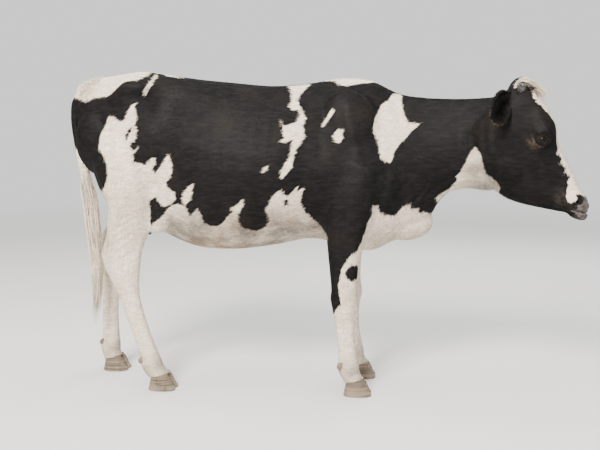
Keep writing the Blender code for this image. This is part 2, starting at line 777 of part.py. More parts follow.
def ball(name, centre, radius, detail):
    mesh = bmesh.new()
    bmesh.ops.create_icosphere(mesh, subdivisions=detail, radius=radius)
    data = bpy.data.meshes.new(name)
    mesh.to_mesh(data)
    mesh.free()
    made = bpy.data.objects.new(name, data)
    bpy.context.scene.collection.objects.link(made)
    made.data.transform(Matrix.Translation(centre))
    return made


def eye(name, head, side):
    """An eyeball in its socket, under lids that leave an almond open."""
    centre = (EYE_AT[0], side * EYE_AT[1], EYE_AT[2])
    lids = on_head(ball("lids", centre, EYE_RADIUS + LID_THICKNESS, 3))
    boolean(head, lids, "UNION")
    socket = on_head(ball("socket", centre, EYE_RADIUS + GAP, 3))
    boolean(head, socket, "DIFFERENCE")
    almond = []
    for k in range(14):
        a = math.tau * k / 14
        along = EYE_OPENING[0] * math.cos(a)
        up = EYE_OPENING[1] * math.copysign(abs(math.sin(a)) ** 1.15, math.sin(a))
        almond.append((along, up))
    rings = []
    for out in (0.004, 0.05):
        ring = []
        for along, up in almond:
            x = along * math.cos(EYE_SLANT) - up * math.sin(EYE_SLANT)
            z = along * math.sin(EYE_SLANT) + up * math.cos(EYE_SLANT)
            ring.append((centre[0] + x + out * 0.10, centre[1] + side * out, centre[2] + z))
        rings.append(ring)
    opening = on_head(loft("opening", rings))
    boolean(head, opening, "DIFFERENCE")
    remove(lids, socket, opening)
    return on_head(ball(name, centre, EYE_RADIUS, 3))


def cut_nostrils(head):
    turns = [math.tau * k / 10 for k in range(10)]
    for side in (1, -1):
        rings = []
        for k in range(5):
            part = k / 4
            r = NOSTRIL_RADIUS * math.sin(math.pi * (0.18 + 0.70 * part))
            middle = Vector((
                NOSTRIL_AT[0] + 0.012 - 0.022 * part,
                side * (NOSTRIL_AT[1] + 0.003 + 0.010 * part),
                NOSTRIL_AT[2] - 0.006 + 0.012 * part,
            ))
            rings.append([
                middle + r * Vector((0.25 * math.sin(a), side * 1.3 * math.cos(a), math.sin(a)))
                for a in turns
            ])
        hole = on_head(loft("nostril", rings))
        boolean(head, hole, "DIFFERENCE")
        remove(hole)


def cut_mouth(head):
    """The line between the lips, as a narrow groove round the muzzle."""
    corner, front = Vector(MOUTH_CORNER), Vector(MOUTH_FRONT)
    count = 12

    def arc(grow):
        line = []
        for k in range(count + 1):
            a = math.pi * k / count - math.pi / 2
            along = math.cos(a) ** 0.8 if math.cos(a) > 1e-6 else 0.0
            place = corner.lerp(front, along * (1 + grow / 0.12)) if along else corner
            line.append((place, (MOUTH_HALF_WIDTH + grow) * math.sin(a)))
        return line

    points = []
    inner, outer = arc(-0.016), arc(0.03)
    up = Vector((front.y - corner.y, corner.x - front.x)).normalized()
    if up.y < 0:
        up.negate()
    for thick in (-MOUTH_GROOVE / 2, MOUTH_GROOVE / 2):
        for line in (inner, outer):
            for place, y in line:
                points.append((place.x + up.x * thick, y, place.y + up.y * thick))
    n = count + 1
    faces = []
    for k in range(count):
        faces.append((k, k + 1, n + k + 1, n + k))
        faces.append((2 * n + k, 3 * n + k, 3 * n + k + 1, 2 * n + k + 1))
        faces.append((k, 2 * n + k, 2 * n + k + 1, k + 1))
        faces.append((n + k, n + k + 1, 3 * n + k + 1, 3 * n + k))
    for k in (0, count):
        faces.append((k, n + k, 3 * n + k, 2 * n + k))
    groove = on_head(mesh_object("groove", points, faces))
    boolean(head, groove, "DIFFERENCE")
    remove(groove)


def lock(name, course, face, width, thickness):
    """A flat tapered lock of hair along a course of points, with its broad side towards face."""
    course = [Vector(p) for p in course]
    face = Vector(face)
    rings = []
    last = len(course) - 1
    for i, here in enumerate(course):
        ahead = (course[min(i + 1, last)] - course[max(i - 1, 0)]).normalized()
        across = ahead.cross(face).normalized()
        out = across.cross(ahead).normalized()
        taper = max(0.0, 1 - (i / last) ** 1.8)
        w = width / 2 * (0.75 + 0.25 * min(1.0, 3 * i / last)) * taper
        t = thickness / 2 * taper
        rings.append([here - across * w, here + out * t, here + across * w, here - out * t])
    return loft(name, rings, pointed=True)


def fused(core, locks):
    """Locks and their core as one closed body."""
    group = bpy.data.collections.new("locks")
    bpy.context.scene.collection.children.link(group)
    for piece in locks:
        bpy.context.scene.collection.objects.unlink(piece)
        group.objects.link(piece)
    join = core.modifiers.new("locks", "BOOLEAN")
    join.operation = "UNION"
    join.operand_type = "COLLECTION"
    join.collection = group
    join.solver = "EXACT"
    evaluated(core)
    remove(*locks)
    bpy.data.collections.remove(group)
    return keep_largest(core)


def tail():
    """The dock, cut where it leaves the rump, and the switch of locks at its end."""
    draw = random.Random(SEED)
    knots = np.arange(len(TAIL_PATH))
    levels = np.linspace(0, len(TAIL_PATH) - 1, 26)
    middles = through(knots, TAIL_PATH, levels)
    radii = through(knots, np.array(TAIL_RADII)[:, None], levels)[:, 0]
    rings = []
    for i, (middle, r) in enumerate(zip(middles, radii)):
        course = middles[min(i + 1, len(middles) - 1)] - middles[max(i - 1, 0)]
        course = course / np.linalg.norm(course)
        ahead = np.array([-course[2], 0.0, course[0]])
        across = np.array([0.0, 1.0, 0.0])
        turns = np.arange(TAIL_SIDES) * math.tau / TAIL_SIDES
        rings.append([middle + r * (ahead * math.cos(a) + across * math.sin(a)) for a in turns])
    core = loft("tail", rings)
    locks = []
    for i in range(SWITCH_LOCKS):
        start = 5.3 + 2.9 * i / SWITCH_LOCKS
        angle = i * GOLDEN_ANGLE + draw.uniform(-0.2, 0.2)
        end = min(start + draw.uniform(1.7, 2.3), 9.95)
        out = Vector((math.cos(angle), math.sin(angle), 0.0))
        course = []
        for k in range(6):
            part = k / 5
            at = start + (end - start) * part
            middle = Vector(through(knots, TAIL_PATH, [at])[0])
            flesh = through(knots, np.array(TAIL_RADII)[:, None], [at])[0, 0]
            puff = 0.55 * flesh + 0.031 * math.sin(math.pi * min(1.0, 0.12 + part * 0.8)) * (1 - 0.4 * part)
            sway = Vector((draw.uniform(-1, 1), draw.uniform(-1, 1), 0)) * 0.002
            course.append(middle + out * puff + sway)
        locks.append(lock("lock", course, out, draw.uniform(0.030, 0.036), 0.009))
    return sliced(fused(core, locks), TAIL_CUT, -1, shift=-GAP)


def forelock(head):
    """The short tuft on the poll, falling forward and to the sides."""
    draw = random.Random(SEED + 1)
    locks = []
    for i in range(FORELOCK_LOCKS):
        across = (i / (FORELOCK_LOCKS - 1) - 0.5) * 0.080
        root = Vector((-0.090 + 0.020 * (i % 3), across, 0.216))
        length = draw.uniform(0.046, 0.060)
        course = []
        for k in range(5):
            part = k / 4
            rise = 0.020 * math.sin(math.pi * (0.12 + 0.75 * part)) + 0.003
            course.append(root + Vector((length * part, across * 0.4 * part, rise)))
        locks.append(on_head(lock("lock", course, (0.1, 0.0, 1.0), draw.uniform(0.017, 0.021), 0.007)))
    return fused(head, locks)


def teats(torso):
    """Four small teats on the udder of an animal that has not calved."""
    pieces = []
    turns = [math.tau * k / 8 for k in range(8)]
    for x in TEAT_ROWS:
        for y in (-TEAT_SPREAD, TEAT_SPREAD):
            rings = []
            for z, r in TEAT_LEVELS:
                rings.append([(x + r * math.cos(a), y + r * math.sin(a), z) for a in turns])
            pieces.append(loft("teat", rings))
    return fused(torso, pieces)


def centred(nodes):
    """Moves every node so that the origin lies under the middle of the animal's box."""
    corners = np.array([vert.co for node in nodes for vert in node.data.vertices])
    low, high = corners.min(axis=0), corners.max(axis=0)
    shift = Matrix.Translation((-(low[0] + high[0]) / 2, -(low[1] + high[1]) / 2, 0.0))
    for node in nodes:
        node.data.transform(shift)


def finished(node, look):
    node.data.materials.clear()
    node.data.materials.append(look)
    triangles = bmesh.new()
    triangles.from_mesh(node.data)
    bmesh.ops.triangulate(triangles, faces=triangles.faces)
    triangles.to_mesh(node.data)
    triangles.free()
    node.data.shade_smooth()
    node.data.set_sharp_from_angle(angle=math.radians(40))


def main():
    clear_scene()
    looks = {
        "coat_black": material("coat_black", (0.018, 0.016, 0.016), 0.55),
        "coat_white": material("coat_white", (0.72, 0.69, 0.63), 0.65),
        "eye": material("eye", (0.02, 0.012, 0.008), 0.08),
        "horn": material("horn", (0.20, 0.18, 0.16), 0.5),
        "hoof": material("hoof", (0.30, 0.25, 0.19), 0.6),
    }
    body = keep_largest(blended("torso", body_pieces(), BODY_VOXEL, BODY_SMOOTHING))
    head = sliced(copy_of(body, "head"), HEAD_CUT, 1, shift=-SPARE)
    sliced(body, HEAD_CUT, -1, shift=SPARE)
    sliced(thinned(head, HEAD_TRIANGLES), HEAD_CUT, 1)
    sliced(thinned(body, BODY_TRIANGLES), HEAD_CUT, -1, shift=-GAP)
    sliced(body, TAIL_CUT, 1)
    nodes = {"torso": body, "head": head}
    nodes["neck"] = parted(body, "neck", NECK_CUT)
    nodes["leg_hind_right"] = leg_off(body, "leg_hind_right", HIND_OUTLINE, HIND_INNER, -1)
    nodes["leg_hind_left"] = leg_off(body, "leg_hind_left", HIND_OUTLINE, HIND_INNER, 1)
    nodes["leg_fore_right"] = leg_off(body, "leg_fore_right", FORE_OUTLINE, FORE_INNER, -1)
    nodes["leg_fore_left"] = leg_off(body, "leg_fore_left", FORE_OUTLINE, FORE_INNER, 1)
    feet = {
        "leg_hind_right": HIND_RIGHT,
        "leg_hind_left": HIND_LEFT,
        "leg_fore_right": FORE_RIGHT,
        "leg_fore_left": FORE_LEFT,
    }
    for name, chain in feet.items():
        foot_off(nodes[name], chain[-1][0])
    for name, chain in feet.items():
        side = 1 if name.endswith("left") else -1
        foot, spread, _ = chain[-1]
        fetlock = chain[-2]
        short = name[4:]
        for half, where in ((side, "outer"), (-side, "inner")):
            toe = "claw_" + short + "_" + where
            nodes[toe] = claw(toe, foot, side * spread, half)
            at = (fetlock[0] - 0.043, side * fetlock[1] + half * 0.021, fetlock[2] - 0.004)
            nodes["dew" + toe] = set_in(
                nodes[name], "dew" + toe, at=at, axis=(-0.75, half * 0.15, -0.62),
                radius=0.0115, sunk=0.008, height=0.024, sides=6)
    forelock(head)
    for side, word in ((1, "left"), (-1, "right")):
        nodes["eye_" + word] = eye("eye_" + word, head, side)
    cut_nostrils(head)
    cut_mouth(head)
    for side, word in ((1, "left"), (-1, "right")):
        horn_at = head_matrix() @ Vector((HORN_AT[0], side * HORN_AT[1], HORN_AT[2]))
        axis = Vector((HORN_AXIS[0], side * HORN_AXIS[1], HORN_AXIS[2]))
        nodes["horn_" + word] = set_in(
            head, "horn_" + word, at=horn_at, axis=head_matrix().to_3x3() @ axis,
            radius=HORN_RADIUS, sunk=0.012, height=HORN_LENGTH, sides=10)
        nodes["ear_" + word] = ear("ear_" + word, (head, nodes["neck"]), side)
    teats(nodes["torso"])
    nodes["tail"] = tail()
    for name, node in nodes.items():
        node.name = name
        node.data.name = name
        mended(keep_largest(node))
        finished(node, looks[LOOK_OF.get(name.split("_")[0], "coat_black")])
    centred(list(nodes.values()))


main()
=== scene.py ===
"""The looks of a black and white dairy heifer, as a still model at life size, on a pale studio floor.

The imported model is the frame. One skin replaces its flesh: the same cross sections blended into one
surface, then worked with muscles, folds, lids, lips and nostrils. Short hair lies over it as small
tufts, long hair as strands. The markings are outlines, those of the right side as the camera sees
them and those of the left side in metres, and skin and hair read the same ones.
"""

import math

import bmesh
import bpy
import numpy as np
from mathutils import Matrix, Vector
from mathutils.bvhtree import BVHTree

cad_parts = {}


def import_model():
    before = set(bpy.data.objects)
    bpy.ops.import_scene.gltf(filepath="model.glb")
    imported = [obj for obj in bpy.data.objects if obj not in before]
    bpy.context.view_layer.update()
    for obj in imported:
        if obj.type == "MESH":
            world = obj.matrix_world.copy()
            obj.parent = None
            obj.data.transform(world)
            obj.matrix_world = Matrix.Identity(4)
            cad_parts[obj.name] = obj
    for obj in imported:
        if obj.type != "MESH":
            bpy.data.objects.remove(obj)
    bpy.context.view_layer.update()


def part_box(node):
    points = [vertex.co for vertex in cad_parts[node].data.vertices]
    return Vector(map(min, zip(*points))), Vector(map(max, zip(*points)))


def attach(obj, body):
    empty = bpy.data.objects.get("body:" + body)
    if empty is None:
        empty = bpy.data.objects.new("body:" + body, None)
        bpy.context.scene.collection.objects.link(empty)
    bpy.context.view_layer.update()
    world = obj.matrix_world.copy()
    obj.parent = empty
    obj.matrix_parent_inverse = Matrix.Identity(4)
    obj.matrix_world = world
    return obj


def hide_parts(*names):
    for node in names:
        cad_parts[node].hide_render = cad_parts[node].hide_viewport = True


# Built from the same sizes as the solids, in metres, in a frame whose x and y zero lie under the
# middle of the barrel

RING_SIDES = 36
TORSO_RINGS = 90
HEAD_RINGS = 70
LEG_RINGS = 60
LEG_SIDES = 24

# Torso and neck: cross sections from the pins to the poll. Each has its place along the body, how
# far its middle stands off to the left, the top of the spine, four points down the side as
# (half width, height), and the bottom.
SECTIONS = {
    "pins": (-0.945, 0.0, 1.285, (0.045, 1.272), (0.098, 1.215), (0.105, 1.155), (0.075, 1.075), 1.040),
    "tail setting": (
        -0.900, 0.0, 1.318, (0.055, 1.300), (0.120, 1.235),
        (0.142, 1.130), (0.110, 1.000), 0.950,
    ),
    "thurl": (-0.790, 0.0, 1.341, (0.080, 1.322), (0.165, 1.255), (0.205, 1.100), (0.165, 0.870), 0.790),
    "hooks": (-0.670, 0.0, 1.354, (0.105, 1.340), (0.205, 1.285), (0.222, 1.080), (0.180, 0.800), 0.700),
    "hollow": (-0.560, 0.0, 1.338, (0.110, 1.318), (0.172, 1.245), (0.225, 1.020), (0.185, 0.745), 0.645),
    "loin": (-0.440, 0.0, 1.320, (0.100, 1.302), (0.178, 1.215), (0.260, 0.985), (0.205, 0.700), 0.600),
    "last rib": (-0.280, 0.0, 1.303, (0.090, 1.280), (0.196, 1.180), (0.284, 0.950), (0.212, 0.690), 0.590),
    "barrel": (-0.100, 0.0, 1.288, (0.078, 1.264), (0.186, 1.165), (0.274, 0.940), (0.198, 0.710), 0.612),
    "girth": (0.060, 0.0, 1.300, (0.062, 1.270), (0.152, 1.160), (0.232, 0.945), (0.160, 0.735), 0.640),
    "withers": (0.190, 0.0, 1.322, (0.045, 1.292), (0.128, 1.150), (0.200, 0.940), (0.145, 0.715), 0.612),
    "shoulder": (0.300, 0.0, 1.312, (0.042, 1.275), (0.112, 1.140), (0.188, 0.930), (0.135, 0.705), 0.588),
    "neck base": (0.420, 0.0, 1.256, (0.038, 1.228), (0.096, 1.120), (0.150, 0.920), (0.105, 0.735), 0.642),
    "brisket": (0.530, -0.006, 1.238, (0.036, 1.212), (0.084, 1.115), (0.118, 0.950), (0.078, 0.780), 0.698),
    "neck front": (
        0.600, -0.016, 1.233, (0.034, 1.210), (0.078, 1.120),
        (0.100, 0.990), (0.070, 0.870), 0.818,
    ),
    "mid neck": (0.690, -0.034, 1.231, (0.034, 1.208), (0.076, 1.125), (0.094, 1.010), (0.070, 0.905), 0.858),
    "throat": (0.800, -0.068, 1.234, (0.036, 1.212), (0.078, 1.130), (0.096, 1.020), (0.072, 0.910), 0.856),
    "nape": (0.870, -0.095, 1.240, (0.036, 1.220), (0.074, 1.140), (0.086, 1.040), (0.064, 0.940), 0.890),
}

# Legs: the middle of each joint as (x, half spread, z), for a hind leg the hip, stifle, hock,
# fetlock and coronet, and for a foreleg the shoulder, elbow, knee, fetlock and coronet
HIND_RIGHT = (
    (-0.770, 0.125, 1.090),
    (-0.695, 0.165, 0.830),
    (-0.744, 0.150, 0.550),
    (-0.628, 0.140, 0.130),
    (-0.592, 0.138, 0.062),
)
HIND_LEFT = (
    (-0.785, 0.125, 1.090),
    (-0.735, 0.165, 0.830),
    (-0.882, 0.150, 0.565),
    (-0.903, 0.140, 0.135),
    (-0.892, 0.138, 0.062),
)
FORE_RIGHT = (
    (0.270, 0.140, 0.960),
    (0.205, 0.150, 0.700),
    (0.201, 0.140, 0.385),
    (0.220, 0.136, 0.125),
    (0.240, 0.135, 0.062),
)
FORE_LEFT = (
    (0.270, 0.140, 0.960),
    (0.208, 0.150, 0.700),
    (0.210, 0.140, 0.385),
    (0.234, 0.136, 0.125),
    (0.256, 0.135, 0.062),
)

# How thick a leg is along that chain: (joint number and part of the way to the next, ahead of the
# chain, behind it, half width)
HIND_GIRTHS = (
    (0.00, 0.120, 0.140, 0.092),
    (0.50, 0.112, 0.138, 0.096),
    (0.85, 0.096, 0.128, 0.088),
    (1.10, 0.098, 0.108, 0.076),
    (1.40, 0.104, 0.084, 0.058),
    (1.70, 0.099, 0.076, 0.044),
    (1.88, 0.090, 0.082, 0.038),
    (2.00, 0.086, 0.084, 0.041),
    (2.14, 0.072, 0.068, 0.039),
    (2.32, 0.047, 0.050, 0.032),
    (2.60, 0.037, 0.042, 0.028),
    (2.86, 0.039, 0.043, 0.031),
    (3.02, 0.043, 0.049, 0.040),
    (3.50, 0.038, 0.042, 0.039),
    (4.00, 0.038, 0.046, 0.046),
    (4.40, 0.040, 0.046, 0.047),
)
FORE_GIRTHS = (
    (0.00, 0.095, 0.110, 0.062),
    (0.50, 0.105, 0.105, 0.070),
    (0.95, 0.095, 0.088, 0.066),
    (1.25, 0.072, 0.072, 0.054),
    (1.60, 0.058, 0.060, 0.043),
    (1.86, 0.052, 0.055, 0.040),
    (2.02, 0.054, 0.056, 0.045),
    (2.20, 0.043, 0.047, 0.037),
    (2.50, 0.036, 0.041, 0.028),
    (2.80, 0.038, 0.042, 0.029),
    (3.00, 0.043, 0.049, 0.038),
    (3.50, 0.038, 0.041, 0.038),
    (4.00, 0.038, 0.045, 0.045),
    (4.40, 0.040, 0.045, 0.046),
)

# The legs: their joints, their girths, and 1 for a left one or -1 for a right one
LEGS = {
    "hind_right": (HIND_RIGHT, HIND_GIRTHS, -1),
    "hind_left": (HIND_LEFT, HIND_GIRTHS, 1),
    "fore_right": (FORE_RIGHT, FORE_GIRTHS, -1),
    "fore_left": (FORE_LEFT, FORE_GIRTHS, 1),
}

# Head: its own frame has x down the face, y to the animal's left, z out of the forehead
HEAD_PLACE = (0.8415, -0.1005, 1.0583)
HEAD_TURN = math.radians(17.0)
HEAD_DROP = math.radians(40.0)
# Cross sections from the poll to the muzzle, told in the same way, with three points down the side
HEAD_SECTIONS = {
    "poll rear": (-0.118, 0.0, 0.205, (0.050, 0.185), (0.078, 0.080), (0.066, -0.050), -0.085),
    "poll": (-0.085, 0.0, 0.238, (0.056, 0.212), (0.086, 0.095), (0.072, -0.070), -0.110),
    "crown": (-0.045, 0.0, 0.232, (0.066, 0.205), (0.094, 0.090), (0.076, -0.090), -0.128),
    "temple": (0.010, 0.0, 0.211, (0.074, 0.187), (0.097, 0.075), (0.078, -0.105), -0.148),
    "brow": (0.065, 0.0, 0.193, (0.080, 0.166), (0.092, 0.070), (0.076, -0.112), -0.172),
    "eye": (0.115, 0.0, 0.168, (0.074, 0.145), (0.086, 0.050), (0.070, -0.115), -0.176),
    "below the eye": (0.160, 0.0, 0.126, (0.060, 0.112), (0.077, 0.020), (0.060, -0.112), -0.172),
    "nose root": (0.225, 0.0, 0.096, (0.047, 0.083), (0.064, -0.005), (0.047, -0.098), -0.148),
    "mid nose": (0.295, 0.0, 0.064, (0.041, 0.052), (0.054, -0.018), (0.039, -0.078), -0.110),
    "muzzle rear": (0.350, 0.0, 0.041, (0.044, 0.026), (0.057, -0.018), (0.038, -0.058), -0.078),
    "nostrils": (0.388, 0.0, 0.026, (0.044, 0.008), (0.056, -0.020), (0.034, -0.045), -0.054),
    "muzzle front": (0.418, 0.0, 0.001, (0.029, -0.008), (0.038, -0.025), (0.024, -0.042), -0.048),
}
EYE_AT = (0.117, 0.0850, 0.096)
EYE_RADIUS = 0.0235
EYE_OPENING = (0.0235, 0.0165)
EYE_SLANT = math.radians(18)
LID_THICKNESS = 0.0045
HORN_AT = (-0.073, 0.066, 0.193)
HORN_AXIS = (-0.18, 0.80, 0.55)
HORN_RADIUS = 0.0155
HORN_LENGTH = 0.034
# The left ear: its root in the head's frame, where it points and where its cup faces in a frame that
# is only turned to the side with the head, its length and half its width
EAR_AT = (-0.092, 0.073, 0.146)
EAR_AXIS = (-0.24, 0.83, -0.50)
EAR_OPENING = (0.86, 0.42, -0.02)
EAR_YAW = -HEAD_TURN
EAR_LENGTH = 0.184
EAR_HALF_WIDTH = 0.058

# Tail: the middle of the dock and switch as (x, y, z), and the radius of flesh there
TAIL_PATH = ((-0.940, 0.000, 1.262), (-0.978, 0.000, 1.220), (-0.991, 0.000, 1.150), (-0.981, 0.002, 1.060),
             (-0.964, 0.004, 0.950), (-0.945, 0.006, 0.840), (-0.930, 0.006, 0.720), (-0.920, 0.006, 0.600),
             (-0.912, 0.004, 0.480), (-0.917, 0.002, 0.360), (-0.930, 0.000, 0.250))
TAIL_RADII = (0.041, 0.0310, 0.0235, 0.0235, 0.0240, 0.0235, 0.0200, 0.0160, 0.0110, 0.0060, 0.0025)

# Teats: their places along and across the udder, and (height, radius) down each
TEAT_ROWS = (-0.655, -0.715)
TEAT_SPREAD = 0.036
TEAT_LEVELS = ((0.705, 0.011), (0.672, 0.010), (0.654, 0.009), (0.645, 0.006))

# Claws, and the line of the coronet over them: its height in front and behind, and its reach
CLAW_LENGTH = 0.116
CLAW_TOE = 0.074
CLAW_WIDTH = 0.049
CLAW_CLEFT = 0.006
CORONET_FRONT = 0.074
CORONET_REAR = 0.046
CORONET_REACH = 0.055


def sided(places, side):
    """Places given for the left side, or their mirror image for side -1."""
    return np.array(places) * (1, side, 1)


def through(knots, values, places):
    """A smooth curve that passes through the values at the knots, read at the places."""
    knots = np.asarray(knots, float)
    values = np.asarray(values, float)
    places = np.asarray(places, float)
    slopes = np.gradient(values, knots, axis=0)
    k = np.clip(np.searchsorted(knots, places, side="right") - 1, 0, len(knots) - 2)
    step = (knots[k + 1] - knots[k])[:, None]
    t = (places - knots[k])[:, None] / step
    return (
        (1 + 2 * t) * (1 - t) ** 2 * values[k]
        + t * (1 - t) ** 2 * step * slopes[k]
        + t * t * (3 - 2 * t) * values[k + 1]
        + t * t * (t - 1) * step * slopes[k + 1]
    )


def closed_curve(points, count):
    """Points spread along a smooth closed curve through the given ones."""
    points = np.asarray(points, float)
    around = len(points)
    wrapped = np.concatenate([points[-3:], points, points[:4]])
    return through(np.arange(-3, around + 4), wrapped, np.arange(count) * around / count)


def placed(name, data):
    """A new object with this mesh, lamp or camera, in the scene."""
    made = bpy.data.objects.new(name, data)
    bpy.context.scene.collection.objects.link(made)
    return made


def mesh_object(name, points, faces):
    """A closed mesh with its faces turned outwards."""
    mesh = bpy.data.meshes.new(name)
    mesh.from_pydata(points.tolist(), [], faces)
    outward = bmesh.new()
    outward.from_mesh(mesh)
    bmesh.ops.recalc_face_normals(outward, faces=outward.faces)
    outward.to_mesh(mesh)
    outward.free()
    return placed(name, mesh)


def loft(name, rings):
    """A closed solid through rings of points."""
    rings = np.asarray(rings, float)
    count, sides = rings.shape[:2]
    faces = []
    for i in range(count - 1):
        for j in range(sides):
            k = (j + 1) % sides
            faces.append((i * sides + j, i * sides + k, (i + 1) * sides + k, (i + 1) * sides + j))
    last = (count - 1) * sides
    faces += [tuple(range(sides)), tuple(range(last, last + sides))]
    return mesh_object(name, rings.reshape(-1, 3), faces)


def ellipsoid(name, centre, radii, sides=24):
    """A ball stretched along x, y and z."""
    rings = []
    for i in range(1, sides // 2):
        a = math.pi * i / (sides // 2)
        rings.append([
            (
                centre[0] + radii[0] * math.cos(a),
                centre[1] + radii[1] * math.sin(a) * math.cos(math.tau * j / sides),
                centre[2] + radii[2] * math.sin(a) * math.sin(math.tau * j / sides),
            )
            for j in range(sides)
        ])
    return loft(name, rings)


def evaluated(piece):
    """The piece with its modifiers worked into its mesh."""
    graph = bpy.context.evaluated_depsgraph_get()
    mesh = bpy.data.meshes.new_from_object(piece.evaluated_get(graph))
    piece.modifiers.clear()
    old = piece.data
    piece.data = mesh
    bpy.data.meshes.remove(old)
    return piece


def remove(*pieces):
    for piece in pieces:
        bpy.data.objects.remove(piece, do_unlink=True)


def joined(name, pieces):
    """Several meshes as one object, each still a body of its own."""
    whole = bmesh.new()
    for piece in pieces:
        piece.data.transform(piece.matrix_world)
        whole.from_mesh(piece.data)
    mesh = bpy.data.meshes.new(name)
    whole.to_mesh(mesh)
    whole.free()
    remove(*pieces)
    return placed(name, mesh)


def blended(name, pieces, voxel, smoothing):
    """Overlapping lofts as one soft surface."""
    made = joined(name, pieces)
    remesh = made.modifiers.new("one skin", "REMESH")
    remesh.mode = "VOXEL"
    remesh.voxel_size = voxel
    remesh.adaptivity = 0.0
    smooth = made.modifiers.new("softened", "SMOOTH")
    smooth.factor = 0.5
    smooth.iterations = smoothing
    return evaluated(made)


def sections_loft(name, sections, count):
    """A loft through cross sections: place, how far off to the left, top, points down the side, bottom."""
    rows = np.array([np.hstack(section) for section in sections.values()])
    at = np.linspace(rows[0, 0], rows[-1, 0], count)
    rings = []
    for x, (off, top, *side, bottom) in zip(at, through(rows[:, 0], rows[:, 1:], at)):
        half = list(zip(side[::2], side[1::2]))
        outline = [(0.0, top), *half, (0.0, bottom), *[(-y, z) for y, z in reversed(half)]]
        rings.append([(x, off + y, z) for y, z in closed_curve(outline, RING_SIDES)])
    return loft(name, rings)


def leg(name, chain, girths, side):
    """A leg as a loft along its joints. Its side is 1 for the left and -1 for the right."""
    joints = sided(chain, side)
    knots = np.arange(len(joints))
    below = joints[-1] + (joints[-1] - joints[-2]) * 0.5
    joints = np.vstack([joints, below])
    knots = np.append(knots, len(knots) - 0.5)
    levels = np.linspace(girths[0][0], girths[-1][0], LEG_RINGS)
    middles = through(knots, joints, levels)
    ahead = through(knots, joints, np.minimum(levels + 0.05, knots[-1]))
    behind = through(knots, joints, np.maximum(levels - 0.05, 0.0))
    sizes = through([g[0] for g in girths], [g[1:] for g in girths], levels)
    rings = []
    for middle, course, (front, rear, half) in zip(middles, ahead - behind, sizes):
        course = course / np.linalg.norm(course)
        forward = np.array([-course[2], 0.0, course[0]])
        forward = forward / np.linalg.norm(forward)
        across = np.cross(course, forward)
        ring = []
        for k in range(LEG_SIDES):
            a = math.tau * k / LEG_SIDES
            reach = front if math.cos(a) > 0 else rear
            ring.append(middle + forward * reach * math.cos(a) + across * half * math.sin(a))
        rings.append(ring)
    return loft(name, rings)


def feet():
    """Each foot: its name, the middle of its claws as x and y, its side, and the fetlock above it."""
    for name, (chain, _, side) in LEGS.items():
        yield name, chain[-1][0], side * chain[-1][1], side, chain[-2]


def head_matrix():
    down = Vector((
        math.cos(HEAD_TURN) * math.cos(HEAD_DROP),
        -math.sin(HEAD_TURN) * math.cos(HEAD_DROP),
        -math.sin(HEAD_DROP),
    ))
    left = Vector((math.sin(HEAD_TURN), math.cos(HEAD_TURN), 0.0))
    out = down.cross(left)
    turn = Matrix((down, left, out)).transposed().to_4x4()
    return Matrix.Translation(HEAD_PLACE) @ turn


def on_head(piece):
    """Moves a piece made in the head's frame to where the head is."""
    piece.data.transform(head_matrix())
    return piece


# Stretched balls that round out the head, in its own frame, and the body: centre, radii. Those of the
# first table of each two are on both sides.
HEAD_PAIRS = {
    "orbit": ((0.098, 0.073, 0.112), (0.052, 0.032, 0.043)),
    "cheek": ((0.085, 0.058, -0.060), (0.075, 0.034, 0.095)),
    "cheek ridge": ((0.185, 0.050, 0.012), (0.085, 0.020, 0.024)),
    "nostril wing": ((0.378, 0.040, 0.006), (0.032, 0.021, 0.026)),
    "upper lip": ((0.358, 0.036, -0.030), (0.046, 0.021, 0.022)),
}
HEAD_MIDDLES = {
    "nose pad": ((0.404, 0.0, -0.004), (0.021, 0.042, 0.026)),
    "lower lip": ((0.419, 0.0, -0.034), (0.026, 0.035, 0.023)),
    "chin": ((0.392, 0.0, -0.047), (0.036, 0.031, 0.020)),
    "poll": ((-0.098, 0.0, 0.188), (0.034, 0.052, 0.050)),
}
BODY_PAIRS = {
    "hook bone": ((-0.665, 0.192, 1.266), (0.062, 0.036, 0.040)),
    "pin bone": ((-0.915, 0.085, 1.185), (0.036, 0.032, 0.040)),
    "rump": ((-0.820, 0.125, 1.060), (0.120, 0.090, 0.150)),
    "buttock": ((-0.862, 0.105, 1.040), (0.068, 0.062, 0.125)),
    "shoulder blade": ((0.205, 0.088, 1.040), (0.150, 0.086, 0.230)),
    "point of shoulder": ((0.340, 0.118, 0.880), (0.090, 0.066, 0.110)),
    "flank fold": ((-0.590, 0.160, 0.745), (0.080, 0.035, 0.075)),
}
BODY_MIDDLES = {
    "tail root": ((-0.925, 0.0, 1.285), (0.060, 0.034, 0.028)),
    "brisket": ((0.450, 0.0, 0.720), (0.120, 0.072, 0.085)),
    "udder": ((-0.675, 0.0, 0.722), (0.090, 0.080, 0.048)),
}


def balls(pairs, middles):
    """The stretched balls of two tables, the first on both sides."""
    made = [
        ellipsoid(name, sided(centre, side), radii)
        for side in (1, -1) for name, (centre, radii) in pairs.items()
    ]
    return made + [ellipsoid(name, centre, radii) for name, (centre, radii) in middles.items()]


def body_pieces():
    skull = sections_loft("skull", HEAD_SECTIONS, HEAD_RINGS)
    head = [on_head(piece) for piece in [skull, *balls(HEAD_PAIRS, HEAD_MIDDLES)]]
    legs = [leg(name, *sizes) for name, sizes in LEGS.items()]
    torso = sections_loft("torso and neck", SECTIONS, TORSO_RINGS)
    return [torso, *head, *legs, *balls(BODY_PAIRS, BODY_MIDDLES)]


SEED = 11

# The skin's voxels and how often it is smoothed, and how far it lies under its full size, for the coat
SKIN_VOXEL = 0.0070
SKIN_SMOOTHING = 9
COAT_DEPTH = 0.002
